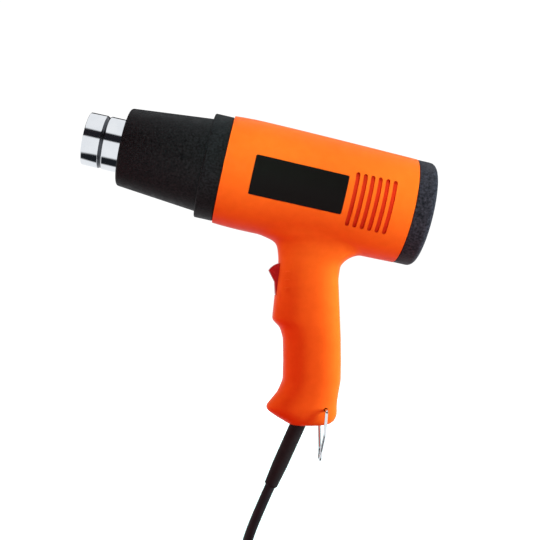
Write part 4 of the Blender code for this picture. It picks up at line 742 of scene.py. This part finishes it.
def label_plate(side, low, high, margin):
    """A plate bent to the barrel between two heights over its surface."""
    middle = (LABEL_HIGH + LABEL_LOW) / 2.0
    rings = []
    for x, half in label_columns(margin):
        radius = float(barrel_radius(x))
        spread = half / CROWN_RADIUS
        rings.append(bent_ring(x, side, radius + low, radius + high, middle - spread, middle + spread, 14))
    return loft(rings)


def housing():
    """Both halves with their vents and label seats."""
    skin = housing_skin()
    pieces = []
    for name, node, side in (("housing_left", "left_shell", -1.0), ("housing_right", "right_shell", 1.0)):
        shell = half_shell(skin, name, side)
        seat = place("label_seat", label_plate(side, -LABEL_SUNK, LABEL_CUT_RISE, LABEL_GAP))
        cut(shell, [vent_cutter(side), seat])
        shell.data.transform(BARREL)
        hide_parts(node)
        pieces.append(shell)
    bpy.data.objects.remove(skin, do_unlink=True)
    return pieces


def rocker_opening():
    """The room in which the rocker tilts."""
    across = Vector((0.0, ROCKER_WIDTH / 2.0 + ROCKER_GAP, 0.0))
    room = rod(ROCKER_PIVOT - across, ROCKER_PIVOT + across, ROCKER_SWEEP + ROCKER_GAP, 64)
    return place("rocker_opening", room, None, HANDLE)


def housing_holes(left, right):
    """Openings for the handle's fittings and the screws."""
    cut(left, [rocker_opening(), relief_hole(), loop_holes()])
    cut(right, [rocker_opening(), relief_hole(), loop_holes(), screw_wells()])


def cord_point(along):
    """A point of the cord's line through the handle's foot, in handle axes."""
    return Vector((CORD_EXIT_X - along * math.sin(CORD_LEAN), 0.0,
                   HANDLE_BOTTOM_Z - along * math.cos(CORD_LEAN)))


def relief_hole():
    """The hole in the handle's foot for the cord's sleeve."""
    inner, outer = (cord_point(along) for along in RELIEF_CUT)
    return place("relief_hole", rod(inner, outer, RELIEF_ROOT_RADIUS + RELIEF_GAP, 48), None, HANDLE)


def loop_holes():
    """The bore through the handle in which the loop turns."""
    across = Vector((0.0, LOOP_BORE_REACH, 0.0))
    bore = rod(LOOP_PIVOT - across, LOOP_PIVOT + across, LOOP_BORE_RADIUS, 32)
    return place("loop_holes", bore, None, HANDLE)


def screw_places():
    """Each housing screw's number, head centre and tip height, from the CAD."""
    places = []
    for i in range(1, SCREW_COUNT + 1):
        low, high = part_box("housing_screw_%d" % i)
        places.append((i, Vector(((low[0] + high[0]) / 2.0, high[1], (low[2] + high[2]) / 2.0)), low[1]))
    return places


def screw_wells():
    """Sunk holes over the screw heads."""
    wells = []
    for _, head, _ in screw_places():
        floor = (head.x, head.y - SCREW_WELL_DEPTH, head.z)
        wells.append(rod(floor, (head.x, SCREW_WELL_TOP_Y, head.z), SCREW_WELL_RADIUS, 40))
    return place("screw_wells", joined(wells))


def housing_screws():
    """Pan heads with a cross slot, each turned a little further."""
    a, b = SCREW_SLOT_REACH, SCREW_SLOT_HALF_WIDTH
    for i, head, tip_y in screw_places():
        neck_y = head.y - SCREW_HEAD_HEIGHT
        profile = rounded([(tip_y, 0.0, 0.0), (tip_y, SCREW_SHANK_RADIUS, 0.3 * MM),
                           (neck_y, SCREW_SHANK_RADIUS, 0.0), (neck_y, SCREW_HEAD_RADIUS, 0.3 * MM),
                           (head.y, SCREW_HEAD_RADIUS, 1.0 * MM), (head.y, 0.0, 0.0)])
        at = Matrix.Translation((head.x, 0.0, head.z))
        screw = place("screw_%d" % i, revolved(profile, 40, "Y"), ZINC, at)
        arms = []
        for turn in (0.0, math.pi / 2.0):
            bar = extruded([(-a, -b), (a, -b), (a, b), (-a, b)],
                           head.y - SCREW_SLOT_DEPTH, head.y + SCREW_SLOT_DEPTH)
            arms.append(place("cross_slot", bar, None, at @ Matrix.Rotation(turn + SCREW_TURN * i, 4, "Y")))
        cut(screw, arms)
        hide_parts("housing_screw_%d" % i)
        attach(screw, "housing")


def labels():
    """Bare name plates in their seats."""
    for name, node, side in (("plate_left", "left_label", -1.0), ("plate_right", "right_label", 1.0)):
        sheet = label_plate(side, LABEL_BED - LABEL_SUNK, LABEL_PROUD, 0.0)
        plate = place(name, sheet, LABEL_BLACK, BARREL)
        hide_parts(node)
        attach(plate, "housing")


def vent_baffles():
    """Curved walls close behind the slots, in a darker red copy of the orange that is painted shade."""
    first, last = VENT_FIRST_X - BAFFLE_MARGIN, VENT_FIRST_X + VENT_COUNT * VENT_PITCH
    inner = BAFFLE_RADIUS - BAFFLE_THICKNESS
    for name, side in (("vent_baffle_left", -1.0), ("vent_baffle_right", 1.0)):
        rings = [bent_ring(x, side, inner, BAFFLE_RADIUS, BAFFLE_LOW, BAFFLE_HIGH, 24)
                 for x in np.linspace(first, last, 12)]
        baffle = place(name, loft(rings), VENT_PAINTED_SHADE, BARREL)
        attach(baffle, "housing")


def switch_marks():
    """Three short raised bars beside the switch on both sides."""
    x1, x2 = MARK_X
    half = MARK_HEIGHT / 2.0
    for name, side in (("switch_marks_left", -1.0), ("switch_marks_right", 1.0)):
        bars = []
        for z in MARK_Z:
            corners = ((x1, z - half), (x2, z - half), (x2, z + half), (x1, z + half))
            outline = rounded([(*at, MARK_CORNER) for at in corners], 4)
            bar = extruded(outline, *sorted(side * y for y in MARK_Y))
            bmesh.ops.transform(bar, verts=bar.verts, matrix=HANDLE_IN_BARREL)
            points = np.array([tuple(v.co) for v in bar.verts])
            outer = np.abs(points[:, 1]) > sum(MARK_Y) / 2.0
            points[outer] = laid_on(points[outer], MARK_PROUD)
            points[~outer] = laid_on(points[~outer], -MARK_SUNK)
            for vert, point in zip(bar.verts, points):
                vert.co = point
            bars.append(bar)
        marks = place(name, joined(bars), ORANGE, BARREL)
        soften(marks, MARK_EDGE)
        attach(marks, "housing")


# Barrel fittings

def guard():
    """The tapered guard, its lip, its spigot and the ring inside for the tube's flange."""
    front, neck, seam, wall = -GUARD_LENGTH, -GUARD_LIP_LENGTH, -BARREL_SEAM, GUARD_WALL
    mouth = TUBE_RADIUS + GUARD_MOUTH_GAP
    spigot_end, bore = GUARD_SPIGOT_LENGTH, SPIGOT_RADIUS - SPIGOT_WALL
    profile = rounded([
        (front, mouth, 0.6 * MM), (front, GUARD_FRONT_RADIUS, 2.0 * MM),
        (neck, GUARD_NECK_RADIUS, 0.5 * MM), (neck, GUARD_LIP_RADIUS, 1.0 * MM),
        (seam, GUARD_LIP_RADIUS, 0.5 * MM), (seam, SPIGOT_RADIUS, 0.0),
        (spigot_end, SPIGOT_RADIUS, 0.3 * MM), (spigot_end, bore, 0.3 * MM),
        (GUARD_POCKET_X, bore, 0.0), (GUARD_POCKET_X, RING_OUTER_RADIUS, 0.0),
        (RING_TOP_X, RING_OUTER_RADIUS, 0.0), (RING_TOP_X, RING_INNER_RADIUS, 0.0),
        (FLANGE_SEAT_X, RING_INNER_RADIUS, 0.0), (FLANGE_SEAT_X, FLANGE_SEAT_RADIUS, 0.0),
        (neck, FLANGE_SEAT_RADIUS, 0.0), (neck, GUARD_NECK_RADIUS - wall, 0.0),
        (front + wall, GUARD_FRONT_RADIUS - wall, 0.5 * MM), (front + wall, mouth, 0.6 * MM)], 6)
    piece = place("guard", revolved(profile, 128), GUARD_BLACK, BARREL)
    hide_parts("heat_shield")
    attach(piece, "housing")


def outlet_tube():
    """The plated tube with its rolled groove and flange, the groove's floor in a dark finish that is
    painted shade.
    """
    tip, groove, root, flange = TUBE_TIP_X, GROOVE_X, FLANGE_X, FLANGE_X + FLANGE_THICKNESS
    half, floor, bend = GROOVE_HALF_WIDTH, GROOVE_FLOOR, 0.8 * MM
    out, low = TUBE_RADIUS, TUBE_RADIUS - GROOVE_DEPTH
    bore = out - TUBE_WALL
    profile = rounded([
        (tip, bore - 0.3 * MM, 0.3 * MM), (tip, out - 0.2 * MM, 0.7 * MM),
        (groove - half, out - 0.1 * MM, bend), (groove - floor, low, 0.5 * MM),
        (groove + floor, low, 0.5 * MM), (groove + half, out, bend),
        (root, out, 0.0), (root, FLANGE_RADIUS, 0.0), (flange, FLANGE_RADIUS, 0.0), (flange, bore, 0.0),
        (groove + half, bore, bend), (groove + floor, low - TUBE_WALL, 0.5 * MM),
        (groove - floor, low - TUBE_WALL, 0.5 * MM), (groove - half, bore - 0.1 * MM, bend)])
    piece = place("outlet_tube", revolved(profile, 128), CHROME)
    # Faces near the groove take the dark finish, as painted shade in the groove
    piece.data.materials.append(GROOVE_PAINTED_SHADE)
    for face in piece.data.polygons:
        if abs(face.center.x - groove) < GROOVE_SHADE:
            face.material_index = 1
    piece.data.transform(BARREL)
    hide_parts("nozzle")
    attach(piece, "housing")


def heater():
    """The fine winding on the heater's former."""
    low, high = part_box("heating_coil")
    radius = (high[2] - low[2]) / 2.0 - WINDING_WIRE_RADIUS
    per_turn = 28
    steps = WINDING_TURNS * per_turn
    points = []
    for i in range(steps + 1):
        angle = TURN * i / per_turn
        x = low[0] + WINDING_INSET + (high[0] - low[0] - 2.0 * WINDING_INSET) * i / steps
        points.append((x, radius * math.cos(angle), BARREL_AT.z + radius * math.sin(angle)))
    winding = wire("winding", points, WINDING_WIRE_RADIUS, HOT_WIRE, 2)
    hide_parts("heating_coil")
    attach(winding, "housing")


def rear_cap():
    """The cap behind the barrel, with its spigot and a ring of inlet slots."""
    seam, back = SHELL_LENGTH + BARREL_SEAM, SHELL_LENGTH + CAP_LENGTH
    tip, face = seam - CAP_SPIGOT_LENGTH, back - CAP_WALL
    inner = SPIGOT_RADIUS - SPIGOT_WALL
    profile = rounded([
        (back, 0.0, 0.0), (back, CAP_RADIUS, CAP_EDGE), (seam, CAP_RADIUS, 0.5 * MM),
        (seam, SPIGOT_RADIUS, 0.0), (tip, SPIGOT_RADIUS, 0.4 * MM), (tip, inner, 0.4 * MM),
        (face, inner, 1.0 * MM), (face, 0.0, 0.0)], 8)
    cap = place("back_cap", revolved(profile, 128), CAP_BLACK)
    slots = []
    length = GRILLE_OUTER_RADIUS - GRILLE_INNER_RADIUS
    middle = (GRILLE_OUTER_RADIUS + GRILLE_INNER_RADIUS) / 2.0
    outline = [(x, z + middle) for x, z in stadium(length, GRILLE_SLOT_WIDTH)]
    lying = Matrix.Rotation(math.pi / 2.0, 4, "Z")
    for i in range(GRILLE_SLOTS):
        slot = extruded(outline, -CAP_LENGTH, CAP_LENGTH)
        turn = Matrix.Rotation(TURN * i / GRILLE_SLOTS, 4, "X") @ lying
        bmesh.ops.transform(slot, verts=slot.verts, matrix=Matrix.Translation((back, 0.0, 0.0)) @ turn)
        slots.append(slot)
    cut(cap, [place("grille", joined(slots))])
    cap.data.transform(BARREL)
    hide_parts("rear_cap")
    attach(cap, "housing")


# Handle fittings

def rocker_outline():
    """Two wings about the pin, the upper one out, and a flat back, as (x, z)."""
    tip, tail, turn, back = ROCKER_TIP_ANGLE, ROCKER_TAIL_ANGLE, ROCKER_REST_TURN, ROCKER_BACK
    rim = [(ROCKER_SWEEP, tail + (tip - tail) * i / 8.0) for i in range(9)]
    rim.append((ROCKER_WAIST, 0.0))
    rim += [(ROCKER_SWEEP, -tip - (tail - tip) * i / 8.0) for i in range(9)]
    outline = [(-radius * math.cos(angle - turn), radius * math.sin(angle - turn)) for radius, angle in rim]
    for lift in (-ROCKER_BACK_HALF, ROCKER_BACK_HALF):
        outline.append((back * math.cos(turn) + lift * math.sin(turn),
                        -back * math.sin(turn) + lift * math.cos(turn)))
    return outline


def rocker():
    """The switch's rocker, with the eye for its pin."""
    at = HANDLE @ Matrix.Translation(ROCKER_PIVOT)
    half = ROCKER_WIDTH / 2.0
    body = place("rocker_body", extruded(rocker_outline(), -half, half), CRIMSON, at)
    through = Vector((0.0, ROCKER_WIDTH, 0.0))
    cut(body, [place("rocker_eye", rod(-through, through, ROCKER_EYE_RADIUS, 24), None, at)])
    soften(body, ROCKER_EDGE, 3, 40.0)
    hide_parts("rocker")
    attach(body, "switch_rocker")


def hanging_loop():
    """The wire loop, half its path and the mirror of it."""
    leg, end, corner = LOOP_LEG_Y, LOOP_END_HALF_WIDTH, LOOP_CORNER
    half = [(leg - LOOP_HOOK_DEPTH, 0.0), (leg - corner, 0.0)]
    for i in range(1, 6):
        angle = 90.0 * i / 6.0 * DEG
        half.append((leg - corner + corner * math.sin(angle), -corner + corner * math.cos(angle)))
    half += [(leg, -corner), (leg, -LOOP_LEG)]
    half += [(leg * (1.0 - share) + end * share, -LOOP_LEG - drop) for share, drop in LOOP_SHOULDER]
    turn_z = -LOOP_LENGTH + end
    half.append((LOOP_BEND_Y, turn_z + LOOP_BEND_RISE))
    for i in range(8):
        angle = 90.0 * i / 8.0 * DEG
        half.append((end * math.cos(angle), turn_z - end * math.sin(angle)))
    path = half + [(0.0, -LOOP_LENGTH)] + [(-y, z) for y, z in reversed(half)]
    at = HANDLE @ Matrix.Translation(LOOP_PIVOT) @ Matrix.Rotation(LOOP_TILT, 4, "Y")
    points = [at @ Vector((0.0, y, z)) for y, z in path]
    loop = wire("wire_loop", points, LOOP_WIRE_RADIUS, CHROME)
    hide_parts("bail")
    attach(loop, "hanging_loop")


def relief():
    """The tapered sleeve, with a collar inside the handle."""
    inner, outer = COLLAR_SPAN
    end = RELIEF_LENGTH + CORD_LAP
    profile = rounded([(inner, 0.0, 0.0), (inner, COLLAR_RADIUS, 0.4 * MM),
                       (outer, COLLAR_RADIUS, 0.4 * MM), (outer, RELIEF_ROOT_RADIUS, 0.0),
                       (TAPER_START, TAPER_RADIUS, 0.0), (RELIEF_LENGTH, RELIEF_TIP_RADIUS, 0.6 * MM),
                       (end, CORD_FIT_RADIUS, 0.0), (end, 0.0, 0.0)])
    down = (cord_point(1.0) - cord_point(0.0)).normalized()
    at = HANDLE @ Matrix.Translation(cord_point(0.0)) @ down.to_track_quat("X", "Y").to_matrix().to_4x4()
    piece = place("cord_sleeve", revolved(profile, 64), RUBBER, at)
    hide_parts("strain_relief")
    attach(piece, "housing")


# Mains cord

def coil_points():
    """The coil's two layers, from its top end to its bottom end."""
    per_turn = 60
    count = int(per_turn * COIL_TURNS)
    total = 2 * count
    outer = COIL_RADIUS + COIL_HALF_SPAN
    points = []
    for i in range(total + 1):
        angle = COIL_END_ANGLE + TURN * (i - total) / per_turn
        radius = outer - COIL_PITCH * min(i, total - i) / per_turn
        climb = min(max((i - count + per_turn / 4.0) / (per_turn / 2.0), 0.0), 1.0)
        z = COIL_LAYER_STEP * climb * climb * (3.0 - 2.0 * climb)
        points.append(COIL_CENTRE + Vector((radius * math.cos(angle), radius * math.sin(angle), z)))
    return points[::-1]


def mains_cord():
    """The cord from the handle through its coil to the plug, in one piece."""
    points = curve_points(CORD_ROUTE, 60)[:-1] + coil_points()[1:-1] + curve_points(PLUG_ROUTE, 40)[1:]
    cord = wire("mains_cord", points, CORD_RADIUS, CORD_BLACK, 7)
    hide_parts("cord_lead", "cord_coil", "cord_plug_lead")
    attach(cord, "housing")
    extras = [cord_tie()] + plug()


def cord_tie():
    """The strap round one side of the coil."""
    reach = CORD_RADIUS + TIE_GAP
    outer = COIL_RADIUS + COIL_HALF_SPAN + reach
    inner = COIL_RADIUS - COIL_HALF_SPAN - reach
    low, high = -reach, COIL_LAYER_STEP + reach
    rings = []
    for grow, side in ((0.0, -1.0), (TIE_THICKNESS, -1.0), (TIE_THICKNESS, 1.0), (0.0, 1.0)):
        x1, x2, z1, z2 = inner - grow, outer + grow, low - grow, high + grow
        corners = ((x1, z1), (x2, z1), (x2, z2), (x1, z2))
        outline = rounded([(*at, CORD_RADIUS + grow) for at in corners], 10)
        rings.append([(x, side * TIE_WIDTH / 2.0, z) for x, z in outline])
    band = loft(rings + [rings[0]], closed_ends=False)
    tie = place("strap", band, RUBBER, Matrix.Translation(COIL_CENTRE) @ Matrix.Rotation(TIE_ANGLE, 4, "Z"))
    soften(tie, TIE_EDGE, 2)
    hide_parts("cord_tie")
    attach(tie, "housing")
    return tie


def plug_rings():
    """Squarish rings along the plug, from a round neck with ribs to its face."""
    neck, face, fit = PLUG_NECK_RADIUS, PLUG_LENGTH, CORD_FIT_RADIUS
    half_w, half_h = PLUG_HALF_WIDTH, PLUG_HALF_HEIGHT
    # Stations as (along, half width, half height, squareness)
    stations = np.array((
        (-CORD_LAP, fit, fit, 2.0), (0.3 * MM, neck - 0.4 * MM, neck - 0.4 * MM, 2.0),
        (1.2 * MM, neck, neck, 2.0), (12.0 * MM, neck + 0.7 * MM, neck + 0.7 * MM, 2.0),
        (PLUG_NECK_LENGTH, 0.50 * half_w, 0.58 * half_h, 2.2),
        (23.0 * MM, 0.74 * half_w, 0.82 * half_h, 2.6), (30.0 * MM, 0.92 * half_w, 0.96 * half_h, 3.0),
        (face - 12.0 * MM, half_w, half_h, 3.4), (face - 1.6 * MM, half_w, half_h, 3.4),
        (face - 0.5 * MM, half_w - 0.5 * MM, half_h - 0.5 * MM, 3.4),
        (face, half_w - 1.6 * MM, half_h - 1.6 * MM, 3.4)))
    places = stations[:, 0]
    rings = []
    for along in np.unique(np.concatenate((np.linspace(-CORD_LAP, face, 60), places))):
        wide, high, power = (float(np.interp(along, places, stations[:, k])) for k in (1, 2, 3))
        groove = 0.0
        if PLUG_RIBS_START < along < PLUG_RIBS_END:
            groove = PLUG_RIB_DEPTH * max(0.0, math.sin(TURN * along / PLUG_RIB_PITCH))
        rings.append(superellipse(float(along), high - groove, wide - groove, power, 56))
    return rings


def plug():
    """A moulded two-pin plug on the floor."""
    at = Matrix.Translation(PLUG_ROUTE[-1]) @ Matrix.Rotation(-math.pi / 2.0, 4, "Y")
    body = place("plug_moulding", loft(plug_rings()), RUBBER, at)
    pieces = [body]
    for i in (1, 2):
        low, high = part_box("plug_pin_%d" % i)
        y, z = (low[1] + high[1]) / 2.0, (low[2] + high[2]) / 2.0
        bore = rod((low[0], y, z), (high[0] + PLUG_PIN_GAP, y, z), PLUG_PIN_RADIUS + PLUG_PIN_GAP, 40)
        cut(body, [place("pin_bore", bore)])
        pin = rounded([(low[0], 0.0, 0.0), (low[0], PLUG_PIN_RADIUS, 1.6 * MM),
                       (high[0], PLUG_PIN_RADIUS, 0.0), (high[0], 0.0, 0.0)], 8)
        piece = place("pin_%d" % i, revolved(pin, 40), ZINC, Matrix.Translation((0.0, y, z)))
        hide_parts("plug_pin_%d" % i)
        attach(piece, "housing")
        pieces.append(piece)
    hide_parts("plug_body")
    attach(body, "housing")
    return pieces


# Finishes of the pieces that stay as CAD

NODE_FINISHES = (
    (MICA, "mica_sleeve terminal_disc"),
    (CERAMIC, "heater_core"),
    (ZINC, "thermal_fuse motor_can motor_shaft motor_screw_1 motor_screw_2"),
    (ZINC, "rocker_pin clamp_screw_1 clamp_screw_2"),
    (GREY, "air_duct fan_housing impeller cord_clamp"),
    (FERRITE, "magnet_ring motor_end_bell"),
    (COPPER, "armature_core"),
    (BRASS, "commutator"),
    (BOARD, "rectifier_board"),
    (SWITCH_BLACK, "switch_body"),
    (BLUE, "capacitor neutral_lead"),
    (BROWN, "live_lead"),
    (RED_WIRE, "heater_lead"),
    (RUBBER, "motor_lead"),
    (CORD_BLACK, "cord_tail"))


def node_finishes():
    for material, names in NODE_FINISHES:
        for name in names.split():
            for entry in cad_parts[name].material_slots:
                entry.material = material


# Light, floor and camera

def lamp(kind, name, at, target, watts, colour):
    """Data of a new lamp that shines at its target and shows in no reflection."""
    data = bpy.data.lights.new(name, kind)
    data.energy = watts
    data.color = colour
    fixture = added(name, data)
    fixture.location = at
    fixture.rotation_euler = (Vector(target) - Vector(at)).to_track_quat("-Z", "Y").to_euler()
    fixture.visible_glossy = False
    return data


def world_light():
    """White for the camera, bands for reflections and a warm shade for the soft light."""
    world = bpy.data.worlds.new("studio_white")
    bpy.context.scene.world = world
    world.use_nodes = True
    tree = world.node_tree
    nodes, links = tree.nodes, tree.links
    split = nodes.new("ShaderNodeSeparateXYZ")
    links.new(nodes.new("ShaderNodeTexCoord").outputs["Generated"], split.inputs[0])
    height = remap(tree, split.outputs["Z"], 0.0, 1.0, -1.0, 1.0)
    tilt = nodes.new("ShaderNodeMath")
    tilt.operation = "ADD"
    links.new(split.outputs["X"], tilt.inputs[0])
    links.new(split.outputs["Z"], tilt.inputs[1])
    slope = remap(tree, tilt.outputs[0], 0.0, 1.0, -SOFT_LIGHT_SPAN, SOFT_LIGHT_SPAN)

    def background(colours, value, strength):
        ramp = nodes.new("ShaderNodeValToRGB")
        elements = ramp.color_ramp.elements
        while len(elements) < len(colours):
            elements.new(0.5)
        for element, (at, colour) in zip(elements, colours):
            element.position = at
            element.color = (*colour, 1.0)
        links.new(value, ramp.inputs["Fac"])
        node = nodes.new("ShaderNodeBackground")
        links.new(ramp.outputs["Color"], node.inputs["Color"])
        fill(node, {"Strength": strength})
        return node

    mirrored = background(REFLECTED_BANDS, height, 1.0)
    ambient = background(SOFT_LIGHT, slope, SOFT_LIGHT_STRENGTH)
    white = nodes["Background"]
    fill(white, {"Color": WHITE, "Strength": BACKDROP_STRENGTH})
    rays = nodes.new("ShaderNodeLightPath")
    inner = nodes.new("ShaderNodeMixShader")
    outer = nodes.new("ShaderNodeMixShader")
    for mix, ray, other, shown in ((inner, "Is Glossy Ray", ambient, mirrored),
                                   (outer, "Is Camera Ray", inner, white)):
        links.new(rays.outputs[ray], mix.inputs["Fac"])
        links.new(other.outputs[0], mix.inputs[1])
        links.new(shown.outputs[0], mix.inputs[2])
    links.new(outer.outputs["Shader"], nodes["World Output"].inputs["Surface"])


def pale_floor():
    """A floor that glows more towards its rim and isn't mirrored in the tool."""
    material = bpy.data.materials.new("pale_floor")
    material.use_nodes = True
    tree = material.node_tree
    nodes, links = tree.nodes, tree.links
    shader = nodes["Principled BSDF"]
    fill(shader, {"Base Color": (*FLOOR_COLOUR, 1.0), "Roughness": FLOOR_ROUGHNESS,
                  "Specular IOR Level": FLOOR_SPECULAR})
    distance = nodes.new("ShaderNodeVectorMath")
    distance.operation = "LENGTH"
    links.new(nodes.new("ShaderNodeTexCoord").outputs["Object"], distance.inputs[0])
    glow = remap(tree, distance.outputs["Value"], *FLOOR_GLOW, *FLOOR_GLOW_REACH)
    links.new(glow, shader.inputs["Emission Strength"])
    bm = bmesh.new()
    bmesh.ops.create_circle(bm, cap_ends=True, segments=96, radius=FLOOR_RADIUS)
    floor = place("floor", bm, material)
    floor.location = (0.0, 0.0, FLOOR_Z)
    floor.visible_diffuse = False
    floor.visible_glossy = False


def studio():
    """Plain colour view, surroundings, lamps and floor."""
    bpy.context.scene.view_settings.view_transform = "Standard"
    world_light()
    for name, at, target, size, watts, colour in LAMPS:
        data = lamp("AREA", name, at, target, watts, colour)
        data.shape = "RECTANGLE"
        data.size, data.size_y = size
    for name, at, target, watts, cone in SPOTS:
        data = lamp("SPOT", name, at, target, watts, SPOT_COLOUR)
        data.spot_size = cone
        data.spot_blend = 1.0
        data.shadow_soft_size = SPOT_SOFTNESS
    pale_floor()


def camera():
    """The photo's camera: level, turned a little and rolled by the handle's rake."""
    data = bpy.data.cameras.new("camera")
    data.sensor_width = SENSOR
    data.lens = FOCAL_PIXELS / IMAGE_PIXELS * SENSOR
    data.clip_start = CAMERA_CLIP
    viewer = added("camera", data)
    toward = Vector((-math.sin(CAMERA_AZIMUTH), math.cos(CAMERA_AZIMUTH), 0.0))
    up = Vector((-math.sin(RAKE), 0.0, math.cos(RAKE)))
    right = toward.cross(up).normalized()
    up = right.cross(toward)
    turn = Matrix((right, up, -toward)).transposed().to_4x4()
    viewer.matrix_world = Matrix.Translation(CAMERA_TARGET - toward * CAMERA_DISTANCE) @ turn
    bpy.context.scene.camera = viewer


camera()
mains_cord()
shells = housing()
housing_holes(*shells)
for half in shells:
    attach(half, "housing")
housing_screws()
labels()
vent_baffles()
switch_marks()
guard()
outlet_tube()
heater()
rear_cap()
rocker()
hanging_loop()
relief()
node_finishes()
studio()
